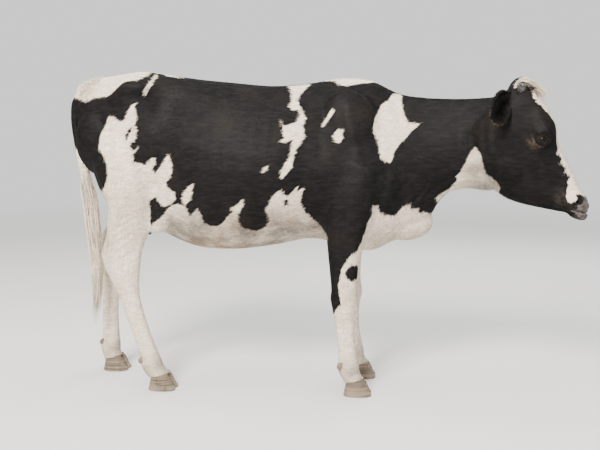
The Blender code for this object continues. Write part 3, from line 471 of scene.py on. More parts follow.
# Balls of the head's frame in which the skin is made finer: centre, radius. An eye's has its own centre.
FINE_HEAD = ((0.17, 0.0, 0.02), 0.34)
FINE_EYE = 0.054
FINE_MUZZLE = ((0.396, 0.0, -0.012), 0.078)


class Skin:
    """The points and normals of the skin while it is worked, with its places in the head's frame."""

    def __init__(self, piece):
        self.piece = piece
        self.read()

    def read(self):
        mesh = self.piece.data
        self.points = np.zeros(len(mesh.vertices) * 3)
        mesh.vertices.foreach_get("co", self.points)
        self.points = self.points.reshape(-1, 3)
        self.normals = np.zeros(len(mesh.vertices) * 3, np.float32)
        mesh.vertex_normals.foreach_get("vector", self.normals)
        self.normals = self.normals.reshape(-1, 3).astype(float)
        self.head = to_head(self.points)

    def write(self):
        mesh = self.piece.data
        mesh.vertices.foreach_set("co", self.points.astype(np.float32).ravel())
        mesh.update()
        self.read()

    def push(self, amount):
        """Moves the points out along their normals."""
        self.points += self.normals * amount[:, None]
        self.head = to_head(self.points)


def head_axes():
    matrix = np.array(head_matrix())
    return matrix[:3, :3], matrix[:3, 3]


def to_head(points):
    turn, place = head_axes()
    return (points - place) @ turn


def from_head(points):
    turn, place = head_axes()
    return np.asarray(points, float) @ turn.T + place


def way_from_head(ways):
    """Directions of the head's frame in the animal's own."""
    return from_head(ways) - from_head(np.zeros((1, 3)))


def nearest_on(points, line):
    """How far each point is from a line of points, and how far along it the nearest place is, 0 to 1."""
    line = np.asarray(line, float)
    lengths = np.linalg.norm(np.diff(line, axis=0), axis=1)
    best = np.full(len(points), 9.0)
    where = np.zeros(len(points))
    done = 0.0
    for a, b, length in zip(line, line[1:], lengths):
        part = np.clip(((points - a) @ (b - a)) / (length * length), 0.0, 1.0)
        away = np.linalg.norm(points - a - part[:, None] * (b - a), axis=1)
        closer = away < best
        best[closer] = away[closer]
        where[closer] = (done + part[closer] * length) / lengths.sum()
        done += length
    return best, where


def step(values, low, high):
    """0 below low, 1 above high, and a smooth rise between."""
    t = np.clip((values - low) / (high - low), 0.0, 1.0)
    return t * t * (3 - 2 * t)


def bell(distance, width):
    return np.exp(-((distance / width) ** 2))


def facing(skin, side=0):
    """How far the skin faces sideways: to the left for side 1, to the right for -1, to either for 0."""
    turned = np.abs(skin.normals[:, 1]) if side == 0 else skin.normals[:, 1] * side
    return step(turned, 0.15, 0.55)


def fold(skin, line, width, height, side=0, ends=0.25, head=False):
    """A ridge, or with a height below zero a groove, along a line of (x, z) on the flanks."""
    plane = (skin.head if head else skin.points)[:, [0, 2]]
    low = np.min(line, axis=0) - 3 * width
    high = np.max(line, axis=0) + 3 * width
    near = np.all((plane > low) & (plane < high), axis=1)
    away, where = nearest_on(plane[near], line)
    fade = step(where, 0.0, ends) * step(1 - where, 0.0, ends)
    amount = np.zeros(len(plane))
    amount[near] = height * bell(away, width) * fade
    skin.push(amount * facing(skin, side))


def crease(skin, line, width, height, ends=0.2, head=False):
    """The same along a line of (x, y, z), wherever the skin is near it."""
    space = skin.head if head else skin.points
    low = np.min(line, axis=0) - 3 * width
    high = np.max(line, axis=0) + 3 * width
    near = np.all((space > low) & (space < high), axis=1)
    away, where = nearest_on(space[near], line)
    fade = step(where, 0.0, ends) * step(1 - where, 0.0, ends)
    amount = np.zeros(len(space))
    amount[near] = height * bell(away, width) * fade
    skin.push(amount)


def mound(skin, centre, radii, height, head=False):
    """A soft swelling, or a hollow, round a place."""
    space = skin.head if head else skin.points
    away = np.linalg.norm((space - np.asarray(centre)) / np.asarray(radii), axis=1)
    skin.push(height * bell(away, 1.0))


def flank(skin, centre, radii, height, side=0):
    """A soft swelling or hollow round a place (x, z) on the flanks."""
    away = np.linalg.norm((skin.points[:, [0, 2]] - np.asarray(centre)) / np.asarray(radii), axis=1)
    skin.push(height * bell(away, 1.0) * facing(skin, side))


def refined(skin, centre, radius):
    """Splits each face of the skin in a ball of the head's frame into four."""
    inside = np.linalg.norm(skin.head - np.asarray(centre), axis=1) < radius
    mesh = bmesh.new()
    mesh.from_mesh(skin.piece.data)
    edges = [edge for edge in mesh.edges if inside[edge.verts[0].index] and inside[edge.verts[1].index]]
    bmesh.ops.subdivide_edges(mesh, edges=edges, cuts=1, use_grid_fill=True)
    mesh.to_mesh(skin.piece.data)
    mesh.free()
    skin.piece.data.update()
    skin.read()


# How far along TAIL_PATH the flesh goes, and the places and radii from which it grows in the rump
TAIL_FLESH_END = 7.5
TAIL_INSIDE = ((-0.88, 0.0, 1.272), (-0.91, 0.0, 1.270))
TAIL_INSIDE_RADII = (0.044, 0.043)
TAIL_RINGS = 60
TAIL_SIDES = 16
TEAT_SIDES = 12


def tail_core():
    """The dock, from inside the rump to the end of its flesh."""
    knots = np.arange(len(TAIL_PATH))
    levels = np.linspace(0, TAIL_FLESH_END, TAIL_RINGS)
    middles = through(knots, TAIL_PATH, levels)
    radii = through(knots, np.array(TAIL_RADII)[:, None], levels)[:, 0]
    middles = np.vstack([TAIL_INSIDE, middles])
    radii = np.concatenate([TAIL_INSIDE_RADII, radii])
    rings = []
    turns = np.arange(TAIL_SIDES) * math.tau / TAIL_SIDES
    for i, (middle, r) in enumerate(zip(middles, radii)):
        course = middles[min(i + 1, len(middles) - 1)] - middles[max(i - 1, 0)]
        course = course / np.linalg.norm(course)
        ahead = np.array([-course[2], 0.0, course[0]])
        across = np.array([0.0, 1.0, 0.0])
        rings.append([middle + r * (ahead * math.cos(a) + across * math.sin(a)) for a in turns])
    return loft("tail core", rings)


def teat_pieces():
    turns = [math.tau * k / TEAT_SIDES for k in range(TEAT_SIDES)]
    pieces = []
    for x in TEAT_ROWS:
        for y in (-TEAT_SPREAD, TEAT_SPREAD):
            rings = []
            for z, r in TEAT_LEVELS:
                r = r + SKIN_VOXEL * 0.3
                rings.append([(x + r * math.cos(a), y + r * math.sin(a), z) for a in turns])
            pieces.append(loft("teat", rings))
    return pieces


def ball(name, centre, radius, detail):
    mesh = bmesh.new()
    bmesh.ops.create_icosphere(mesh, subdivisions=detail, radius=radius)
    data = bpy.data.meshes.new(name)
    mesh.to_mesh(data)
    mesh.free()
    data.transform(Matrix.Translation(centre))
    return placed(name, data)


def bare_skin():
    """The blended body, still without its folds."""
    pieces = body_pieces() + [tail_core()] + teat_pieces()
    for side in (1, -1):
        pieces.append(on_head(ball("lids", sided(EYE_AT, side), EYE_RADIUS + LID_THICKNESS, 4)))
    skin = Skin(blended("skin", pieces, SKIN_VOXEL, SKIN_SMOOTHING))
    refined(skin, *FINE_HEAD)
    for side in (1, -1):
        refined(skin, sided(EYE_AT, side), FINE_EYE)
    refined(skin, *FINE_MUZZLE)
    skin.push(np.full(len(skin.points), -COAT_DEPTH))
    skin.write()
    return skin


# Forms that show through the hide of both flanks: centre (x, z), reach, height
FLANK_FORMS = {
    "hollow before the hip": ((-0.515, 1.195), (0.085, 0.062), -0.011),
    "hollow behind the hip": ((-0.775, 1.235), (0.075, 0.045), -0.008),
    "hollow behind the shoulder": ((0.045, 1.040), (0.050, 0.130), -0.007),
    "muscle over the elbow": ((0.145, 0.860), (0.075, 0.090), 0.006),
    "hollow before the blade": ((0.330, 1.060), (0.060, 0.110), -0.004),
    "point of the shoulder": ((0.285, 0.890), (0.055, 0.080), 0.006),
    "thigh": ((-0.700, 0.960), (0.110, 0.120), 0.006),
    "edge of the thigh": ((-0.610, 0.880), (0.035, 0.100), -0.006),
}
# Ridges and grooves there: line of (x, z), width, height
FLANK_LINES = {
    "spine of the blade": ([(0.205, 1.275), (0.215, 1.150), (0.245, 1.020), (0.270, 0.930)], 0.020, 0.005),
    "rear of the blade": ([(0.120, 1.230), (0.095, 1.080), (0.110, 0.930)], 0.022, -0.004),
    "behind the elbow": ([(0.110, 0.905), (0.130, 0.800), (0.118, 0.715)], 0.022, -0.004),
    "forearm": ([(0.215, 0.850), (0.200, 0.760), (0.200, 0.680)], 0.012, -0.003),
    "before the shoulder": ([(0.385, 1.000), (0.360, 0.860), (0.330, 0.760)], 0.018, -0.005),
    "hip to pin": ([(-0.645, 1.285), (-0.720, 1.262), (-0.830, 1.220), (-0.905, 1.190)], 0.020, 0.005),
    "buttock": ([(-0.905, 1.120), (-0.870, 0.990), (-0.815, 0.860), (-0.790, 0.760)], 0.016, -0.005),
    "thigh": ([(-0.760, 1.130), (-0.740, 1.010), (-0.735, 0.880), (-0.760, 0.760)], 0.020, -0.004),
    "gaskin": ([(-0.655, 0.860), (-0.700, 0.770), (-0.755, 0.680), (-0.790, 0.600)], 0.014, -0.004),
    "fold of the flank": ([(-0.590, 0.800), (-0.560, 0.745), (-0.505, 0.700)], 0.016, 0.007),
    "above that fold": ([(-0.600, 0.905), (-0.560, 0.835), (-0.500, 0.770)], 0.026, -0.007),
    "before the hock": ([(-0.680, 0.620), (-0.720, 0.560), (-0.735, 0.500)], 0.010, -0.003),
}
RIBS = 8
RIB_FIRST = -0.350
RIB_SPACING = 0.052
RIB_HEIGHT = 0.0010
# The same rib over and over, from its own place: (forward, z)
RIB_LINE = ((0.0, 1.200), (-0.018, 1.080), (-0.022, 0.940), (0.012, 0.800))
# The ridge of the spine: where it fades in and out along the body, how wide and how high it is
SPINE_FROM = (-0.86, -0.78)
SPINE_TO = (-0.20, -0.08)
SPINE_WIDTH = 0.022
SPINE_HEIGHT = 0.004


def work_body(skin):
    """Muscles, bones and hollows that show through the hide."""
    for form in FLANK_FORMS.values():
        flank(skin, *form)
    for form in FLANK_LINES.values():
        fold(skin, *form)
    for i in range(RIBS):
        fold(skin, [(RIB_FIRST + RIB_SPACING * i + x, z) for x, z in RIB_LINE], 0.013, RIB_HEIGHT)
    x, y, z = skin.points.T
    amount = np.where(z > 1.2, SPINE_HEIGHT * bell(y, SPINE_WIDTH), 0.0)
    skin.push(amount * (step(x, *SPINE_FROM) * step(-x, *SPINE_TO)))


# Soft folds of the bent neck and of the brisket: lines of (x, z)
NECK_FOLDS = (
    [(0.765, 1.190), (0.752, 1.100), (0.757, 1.010), (0.775, 0.940)],
    [(0.728, 1.165), (0.716, 1.080), (0.720, 0.990), (0.735, 0.920)],
    [(0.692, 1.130), (0.684, 1.050), (0.688, 0.975)],
    [(0.650, 1.110), (0.640, 1.040), (0.648, 0.960)],
    [(0.796, 1.150), (0.788, 1.060), (0.797, 0.975)],
)
BRISKET_FOLDS = (
    [(0.585, 0.870), (0.540, 0.800), (0.490, 0.745)],
    [(0.545, 0.885), (0.495, 0.820), (0.440, 0.760)],
    [(0.480, 0.850), (0.425, 0.790), (0.375, 0.740)],
)
JUGULAR_GROOVE = [(0.800, 0.955), (0.690, 0.925), (0.570, 0.870), (0.470, 0.800)]
NECK_GROOVE = [(0.760, 1.120), (0.640, 1.130), (0.480, 1.110), (0.340, 1.080)]


def shifted(line, forward, up=0.0):
    return [(x + forward, z + up) for x, z in line]


def work_neck(skin):
    """The groove over the jugular, the hollow along the neck and the soft folds of a bent neck."""
    fold(skin, JUGULAR_GROOVE, 0.022, -0.006)
    fold(skin, NECK_GROOVE, 0.045, -0.004)
    for line in NECK_FOLDS:
        fold(skin, line, 0.0130, -0.0026, side=-1, ends=0.45)
        fold(skin, shifted(line, 0.018), 0.0130, 0.0020, side=-1, ends=0.45)
    for line in NECK_FOLDS[:3]:
        fold(skin, shifted(line, -0.02), 0.010, -0.0018, side=1)
    for line in BRISKET_FOLDS:
        fold(skin, line, 0.009, -0.0040)
        fold(skin, shifted(line, 0.012, 0.004), 0.010, 0.0030)


HOCK_CREASES = 5
# Wrinkles above the hock on the outer side, from its middle: forward, up
THIGH_WRINKLES = (
    [(-0.038, 0.091), (-0.004, 0.118), (0.040, 0.150), (0.086, 0.164)],
    [(-0.036, 0.060), (0.000, 0.092), (0.036, 0.112), (0.080, 0.136)],
    [(-0.026, 0.027), (0.006, 0.058), (0.044, 0.084), (0.084, 0.104)],
    [(-0.016, 0.002), (0.018, 0.026), (0.054, 0.046), (0.088, 0.066)],
    [(0.000, -0.020), (0.034, -0.004), (0.070, 0.012), (0.092, 0.022)],
    [(-0.020, 0.146), (0.020, 0.158), (0.066, 0.184), (0.100, 0.190)],
)
# Forms round a joint, from its middle: centre, reach, height. Those of the names that end in SIDES are
# on both sides of the joint.
HOCK_SIDES = (
    ((-0.030, 0.034, 0.010), (0.020, 0.018, 0.035), 0.0035),
    ((0.010, 0.036, 0.030), (0.022, 0.016, 0.030), 0.004),
)
HOCK_POINT = ((-0.078, 0.0, 0.030), (0.020, 0.022, 0.024), 0.006)
KNEE_MIDDLES = (
    ((0.048, 0.0, 0.012), (0.020, 0.030, 0.045), 0.005),
    ((-0.050, 0.0, 0.022), (0.016, 0.022, 0.024), 0.005),
)
KNEE_SIDES = (
    ((0.010, 0.040, 0.035), (0.024, 0.014, 0.020), 0.0035),
    ((0.008, 0.040, -0.030), (0.024, 0.014, 0.020), 0.003),
)
FETLOCK_SIDES = (((0.0, 0.032, 0.0), (0.022, 0.012, 0.022), 0.003),)
ELBOW = (0.118, 0.165, 0.712)
# Lines from a joint's middle: how they run, and (width, height) of the groove
PASTERN_FRONT = ((0.044, 0.0, -0.005), (0.055, 0.0, -0.035), (0.062, 0.0, -0.060))
PASTERN_SIDE = ((-0.030, 0.034, -0.024), (0.010, 0.038, -0.030))
ABOVE_HOCK = ((-0.052, 0.020, 0.045), (-0.058, 0.020, 0.100), (-0.064, 0.020, 0.155))
ABOVE_KNEE = ((0.020, 0.044, 0.06), (0.028, 0.05, 0.20))
TENDON = (0.008, -0.0028)


def joint_forms(skin, joint, forms, half=1):
    """Swellings of a joint, on its outer or inner side."""
    for centre, reach, height in forms:
        mound(skin, joint + sided(centre, half), reach, height)


def joint_line(skin, joint, line, half, width, height):
    crease(skin, [joint + sided(place, half) for place in line], width, height)


def tendon(skin, joint, fetlock, shares, behind, half):
    """The groove before the tendon, down the shank."""
    line = [joint + (fetlock - joint) * share + (-behind, half * 0.030, 0.0) for share in shares]
    crease(skin, line, *TENDON)


def work_hind_leg(skin, chain, side):
    hock, fetlock = sided(chain[2], side), sided(chain[3], side)
    for half in (-1, 1):
        joint_forms(skin, hock, HOCK_SIDES, half)
        tendon(skin, hock, fetlock, (0.14, 0.4, 0.65, 0.9), 0.014, half)
        joint_line(skin, hock, ABOVE_HOCK, half, 0.016, -0.007)
    joint_forms(skin, hock, [HOCK_POINT])
    for i in range(HOCK_CREASES):
        z = 0.040 - 0.017 * i
        line = [hock + (0.052 - 0.003 * i, w * 0.038, z - 0.012 * abs(w)) for w in (-1, -0.4, 0.4, 1)]
        crease(skin, line, 0.0046, -0.0040, ends=0.1)
    for wrinkle in THIGH_WRINKLES:
        line = shifted(wrinkle, hock[0], hock[2])
        fold(skin, line, 0.0065, -0.0030, side=side, ends=0.3)
        fold(skin, shifted(line, 0.004, 0.011), 0.0060, 0.0022, side=side, ends=0.3)
    joint_below(skin, fetlock)


def work_fore_leg(skin, chain, side):
    knee, fetlock = sided(chain[2], side), sided(chain[3], side)
    joint_forms(skin, knee, KNEE_MIDDLES)
    for half in (-1, 1):
        joint_forms(skin, knee, KNEE_SIDES, half)
        tendon(skin, knee, fetlock, (0.2, 0.45, 0.7, 0.9), 0.012, half)
        joint_line(skin, knee, ABOVE_KNEE, half, 0.014, -0.004)
    for z in (0.004, -0.012):
        crease(skin, [knee + (-0.050, w * 0.026, z) for w in (-1, 0, 1)], 0.0045, -0.003, ends=0.1)
    joint_below(skin, fetlock)


def work_legs(skin):
    """Joints, tendons and the creases at the bend of the hocks."""
    work_hind_leg(skin, HIND_RIGHT, -1)
    work_hind_leg(skin, HIND_LEFT, 1)
    work_fore_leg(skin, FORE_RIGHT, -1)
    work_fore_leg(skin, FORE_LEFT, 1)
    for side in (-1, 1):
        mound(skin, sided(ELBOW, side), (0.030, 0.030, 0.035), 0.007)


def joint_below(skin, fetlock):
    """The fetlock and pastern."""
    for half in (-1, 1):
        joint_forms(skin, fetlock, FETLOCK_SIDES, half)
    joint_line(skin, fetlock, PASTERN_FRONT, 1, 0.008, -0.004)
    for half in (-1, 1):
        joint_line(skin, fetlock, PASTERN_SIDE, half, 0.007, -0.0025)


# Forms of both sides of the head, in its own frame: centre, reach, height
HEAD_FORMS = {
    "temple": ((0.015, 0.080, 0.150), (0.036, 0.020, 0.030), -0.006),
    "brow": ((0.075, 0.070, 0.150), (0.045, 0.022, 0.018), 0.004),
    "below the eye": ((0.180, 0.055, 0.070), (0.040, 0.020, 0.026), -0.005),
    "side of the nose": ((0.265, 0.050, 0.010), (0.060, 0.020, 0.022), -0.004),
    "upper lip": ((0.300, 0.040, -0.055), (0.045, 0.020, 0.022), 0.003),
}
# Ridges there: line, width, height
HEAD_LINES = {
    "cheek ridge": ([(0.120, 0.085, 0.055), (0.180, 0.072, 0.026), (0.245, 0.060, 0.004)], 0.012, 0.005),
    "jaw": ([(-0.030, 0.070, -0.080), (0.030, 0.075, -0.150), (0.130, 0.060, -0.165)], 0.018, 0.004),
    "vein": ([(0.150, 0.078, -0.120), (0.200, 0.070, -0.060), (0.250, 0.062, -0.020)], 0.0045, 0.0018),
    "brow": ([(0.078, 0.088, 0.142), (0.108, 0.090, 0.136), (0.138, 0.082, 0.122)], 0.007, 0.004),
}
# Lines of (down the face, height) on the side of the muzzle
MUZZLE_CREASES = (
    [(0.318, -0.046), (0.326, -0.030), (0.330, -0.012)],
    [(0.336, -0.040), (0.343, -0.024), (0.346, -0.004)],
    [(0.300, -0.058), (0.306, -0.040), (0.308, -0.022)],
)


def work_head(skin):
    """Bones, hollows and folds of the head, but for eyes and nose."""
    for side in (1, -1):
        for centre, reach, height in HEAD_FORMS.values():
            mound(skin, sided(centre, side), reach, height, head=True)
        for line, width, height in HEAD_LINES.values():
            crease(skin, sided(line, side), width, height, head=True)
    for line in MUZZLE_CREASES:
        fold(skin, line, 0.0042, -0.0020, head=True)


def eye_axes(side):
    """The eye's own frame in the head's: out of the socket, along the slit and up across it."""
    out = np.array([0.30, side * 0.93, 0.14])
    out /= np.linalg.norm(out)
    along = np.array([math.cos(EYE_SLANT), 0.0, math.sin(EYE_SLANT)])
    along -= out * (along @ out)
    along /= np.linalg.norm(along)
    up = np.cross(out, along) * -side
    return out, along, up


def slit_height(along):
    """Half the opening's height above and below the slit's middle line, by the place along it."""
    part = np.clip(np.abs(along) / EYE_OPENING[0], 0.0, 1.0)
    upper = EYE_OPENING[1] * 1.08 * (1 - part ** 2.4)
    lower = EYE_OPENING[1] * 0.92 * (1 - part ** 1.9)
    return upper, lower


# How far the dark margin goes beyond the slit
LID_DARK = 0.0046
# How far round an eye's middle the skin is worked, and how far out of the socket at least
LID_REACH = 0.060
LID_FRONT = 0.004
# Folds of the lids: how far outside the slit, how wide, how high
UPPER_FOLDS = ((0.0105, 0.0028, -0.0026), (0.0160, 0.0040, 0.0024))
LOWER_FOLDS = ((0.0085, 0.0025, -0.0016), (0.0130, 0.0030, 0.0012), (0.0180, 0.0025, -0.0010))


def work_eyes(skin):
    """Opens the lids over the eyeballs and gives them margins and creases."""
    skin.lid_margin = np.zeros(len(skin.points))
    for side in (1, -1):
        centre = sided(EYE_AT, side)
        out, along, up = eye_axes(side)
        q = skin.head - centre
        q_out, q_along, q_up = q @ out, q @ along, q @ up
        near = (np.linalg.norm(q, axis=1) < LID_REACH) & (q_out > LID_FRONT)
        upper, lower = slit_height(q_along)
        past = np.abs(q_along) - EYE_OPENING[0]
        outside = np.maximum(np.maximum(q_up - upper, -lower - q_up), past)
        height = 0.0016 * (bell(outside - 0.0025, 0.0024) * (outside > -0.001))
        for folds, there in ((UPPER_FOLDS, q_up > 0), (LOWER_FOLDS, q_up <= 0)):
            for away, width, rise in folds:
                height += rise * np.where(there, bell(outside - away, width), 0.0)
        length = np.linalg.norm(q, axis=1)
        ray = q / np.maximum(length, 1e-6)[:, None]
        lid_radius = EYE_RADIUS + LID_THICKNESS
        wanted = np.where(outside < 0, EYE_RADIUS - 0.005, lid_radius + height)
        into_slit = step(-outside, -0.0002, 0.0012)
        blend = np.where(outside < 0, into_slit, 0.85 * (1 - step(outside, 0.004, 0.016)))
        moved = length * (1 - blend) + wanted * blend
        moved = np.where(outside > 0.004, moved + height * (1 - blend), moved)
        space = skin.head.copy()
        space[near] = centre + ray[near] * moved[near][:, None]
        skin.points[near] = from_head(space[near])
        skin.head = to_head(skin.points)
        dark = step(-outside[near], -LID_DARK, -0.6 * LID_DARK)
        skin.lid_margin[near] = np.maximum(skin.lid_margin[near], dark)


# A nostril as balls of the head's frame: place down the face, height, radius
NOSTRIL_ARC = (
    (0.378, 0.004, 0.0105), (0.375, 0.011, 0.0110), (0.369, 0.017, 0.0095),
    (0.361, 0.019, 0.0065), (0.354, 0.016, 0.0040),
)
NOSTRIL_SPREAD = 0.050
NOSTRIL_DEPTH = 0.017
# The line of the mouth: (down the face, height)
MOUTH_LINE = (
    (0.306, -0.067), (0.330, -0.060), (0.355, -0.050), (0.385, -0.036), (0.410, -0.023), (0.436, -0.011),
)


def work_nose(skin):
    """Nostrils like commas, their wings, the groove between them and the line of the mouth."""
    skin.nostril = np.zeros(len(skin.points))
    for side in (1, -1):
        centre = np.array([NOSTRIL_ARC[1][0], side * NOSTRIL_SPREAD, NOSTRIL_ARC[1][1]])
        out = np.array([0.45, side * 0.82, 0.34])
        out /= np.linalg.norm(out)
        q = skin.head - centre
        near = (np.linalg.norm(q, axis=1) < 0.045) & (q @ out > -0.02) & (skin.head[:, 1] * side > 0)
        inside = np.full(len(q), 9.0)
        for x, z, r in NOSTRIL_ARC:
            inside = np.minimum(inside, np.hypot(skin.head[:, 0] - x, skin.head[:, 2] - z) - r)
        depth = NOSTRIL_DEPTH * step(-inside, 0.0, 0.0045)
        rim = 0.0032 * bell(inside - 0.0045, 0.0040)
        space = skin.head.copy()
        space[near] += out * (rim - depth)[near][:, None]
        space[near] += np.array([-0.3, -side * 0.55, 0.0]) * (depth * 0.25)[near][:, None]
        skin.points[near] = from_head(space[near])
        skin.head = to_head(skin.points)
        # This layer marks where the hide is painted near black: painted shade inside the nostril
        skin.nostril[near] = np.maximum(skin.nostril[near], step(-inside[near], -0.0065, 0.001))
    down, across, out = skin.head.T
    skin.push(-0.0024 * bell(across, 0.0030) * (down > 0.385) * step(out, -0.026, -0.018))
    down, across, out = skin.head.T
    away, where = nearest_on(skin.head[:, [0, 2]], MOUTH_LINE)
    reach = step(where, 0.0, 0.10) * (down > 0.29) * (np.abs(across) < 0.075)
    above = out > np.interp(down, *np.array(MOUTH_LINE).T)
    amount = -0.0052 * bell(away, 0.0022) + 0.0018 * bell(away - 0.0065, 0.0040)
    amount += np.where(above, 0.0, 0.0012) * bell(away - 0.010, 0.005)
    skin.push(amount * reach)


# The camera: its place, how far it turns to the left and how far it looks down. The photo's focal
# length and middle are in pixels.
CAMERA_AT = (0.342, -3.252, 0.990)
CAMERA_TURN = math.radians(6.0)
CAMERA_DIP = math.radians(5.112)
PHOTO_FOCAL = 760.0
PHOTO_MIDDLE = (300.0, 225.0)
# What a pixel of the photo spans on the animal's right side
PIXEL = 0.00395
# How far from an outline the depth in a mark is told
MARK_REACH = 0.06
# Outlines of the white hair of the right side, and of black islands in it, in the photo's pixels
WHITE_RIGHT_PIXELS = {
    "rump": ((78, 99), (74, 96), (72, 88), (78, 81), (90, 74), (112, 70), (140, 67), (153, 70),
        (148, 76), (138, 80), (128, 81), (121, 84), (115, 90), (109, 96), (101, 97), (94, 98), (86, 101),
    ),
    "hip slash": ((157, 74.5), (152, 79.5), (147, 85), (143, 91), (144, 96), (147, 93), (150.5, 87),
        (153.5, 81.5), (157.5, 77),
    ),
    "loin sliver": ((165, 72.5), (186, 75), (185, 78.4), (175, 77.6), (167, 76.4),
    ),
    "thigh": ((108, 118), (105, 127), (101, 134), (99.5, 141), (98.5, 148), (102, 153), (106, 161),
        (107.5, 171), (107, 180), (104, 188), (101, 191), (99, 205), (92, 230), (88, 300), (92, 420),
        (200, 420), (200, 330), (170, 262), (158, 243), (154, 232), (150, 222), (150, 208), (149, 200),
        (157, 197), (160, 203), (165, 207), (171, 204), (176, 199), (174, 192), (168, 188), (165, 183),
        (170, 178), (172, 170), (171, 160), (168, 153), (165, 160), (155, 175), (152, 170), (155, 165),
        (156, 158), (151, 158), (145, 166), (142, 164), (134, 163), (133, 155), (139, 147), (131, 145),
        (136, 138), (137, 130), (134, 125), (137, 118), (136, 112), (134, 106), (138, 103), (131, 105),
        (128, 112), (124, 120), (120, 122), (115, 118), (110, 116),
    ),
    "flank drop": ((193, 184), (188, 187), (184, 192), (182, 200), (185, 206), (190, 200), (192, 192),
    ),
    "belly": ((153, 223.5), (162, 217), (168, 209), (172, 205), (179, 204), (186, 207), (190, 217),
        (197, 209), (201, 215), (203, 222), (210, 226), (218, 226), (224, 222), (228, 216), (233, 212),
        (231, 208), (237, 205), (243, 199), (243, 207), (238, 215), (238, 222), (243, 228), (250, 230),
        (257, 231), (262, 229), (268, 225), (270, 218), (265, 211), (268, 206), (272, 197), (277, 192),
        (281, 190), (284, 194), (287, 197), (292, 192), (298, 186), (297, 192), (304, 187), (302, 195),
        (300, 203), (305, 212), (313, 219), (322, 227), (327, 236), (328, 262), (290, 275), (230, 285),
        (180, 275), (150, 250), (150, 232),
    ),
    "bolt": ((288, 86), (291, 90), (292, 100), (289, 107), (292, 110), (299, 110), (300, 115), (297, 122),
        (284, 126), (280, 119), (283, 130), (284, 138), (280, 142), (288, 142), (293, 139), (289, 158),
        (283, 167), (280, 175), (282, 179), (287, 173), (292, 167), (293, 160), (296, 150), (301, 142),
        (305, 137), (303, 125), (306, 119), (303, 112), (300, 108), (298, 101), (300, 95), (305, 90),
        (312, 83), (300, 83),
    ),
    "drop a": ((262, 172), (264, 168), (269, 165), (267, 169), (264, 173),
    ),
    "streak": ((322, 126), (327, 117), (331, 109), (335, 111), (330, 118), (324, 127),
    ),
    "oval": ((338, 129), (343, 130), (343, 138), (340, 143), (335, 143), (333, 136),
    ),
    "withers": ((318, 80), (326, 75), (345, 70), (365, 72), (380, 77), (376, 81), (368, 83), (362, 83),
        (354, 85), (347, 86), (340, 85), (335, 81), (328, 81),
    ),
    "shoulder": ((394, 92), (389, 100), (383, 103), (379, 110), (375, 118), (373, 127), (374, 135),
        (378, 141), (379, 150), (381, 158), (386, 162), (391, 163), (394, 153), (399, 144), (405, 139),
        (411, 132), (420, 124), (414, 123), (408, 122), (404, 115), (402, 105), (402, 97), (404, 91),
    ),
    "brisket": ((372, 207), (378, 205), (379, 213), (385, 215), (395, 216), (400, 210), (404, 206),
        (410, 204), (411, 209), (418, 209), (420, 213), (431, 214), (445, 214), (445, 262), (400, 262),
        (372, 262), (360, 270), (372, 300), (380, 420), (315, 420), (325, 330), (337, 308), (341, 305),
        (339, 292), (338, 285), (340, 280), (341, 270), (346, 262), (350, 256), (357, 252), (362, 240),
        (366, 230), (368, 222), (372, 215),
    ),
    "throat": ((475, 147), (470, 153), (466, 162), (461, 171), (457, 176), (456, 182), (450, 188),
        (436, 197), (440, 215), (520, 215), (517, 201), (511, 196), (505, 194), (501, 188), (498, 183),
        (492, 178), (487, 174), (484, 168), (482, 160), (480, 153),
    ),
}
BLACK_RIGHT_PIXELS = {
    "thigh island a": ((131, 127), (133, 129), (130, 133), (128.5, 137), (126.5, 142), (125.5, 139),
        (126, 134), (128, 130),
    ),
    "thigh island b": ((131, 141), (136, 143), (137, 149), (133, 151), (130, 147),
    ),
    "knee spot": ((351, 265), (358, 265), (360, 272), (357, 279), (352, 282), (347, 279), (345, 273),
        (348, 268),
    ),
    "crown hole": ((284, 199), (289, 200), (288, 205), (284, 206),
    ),
}
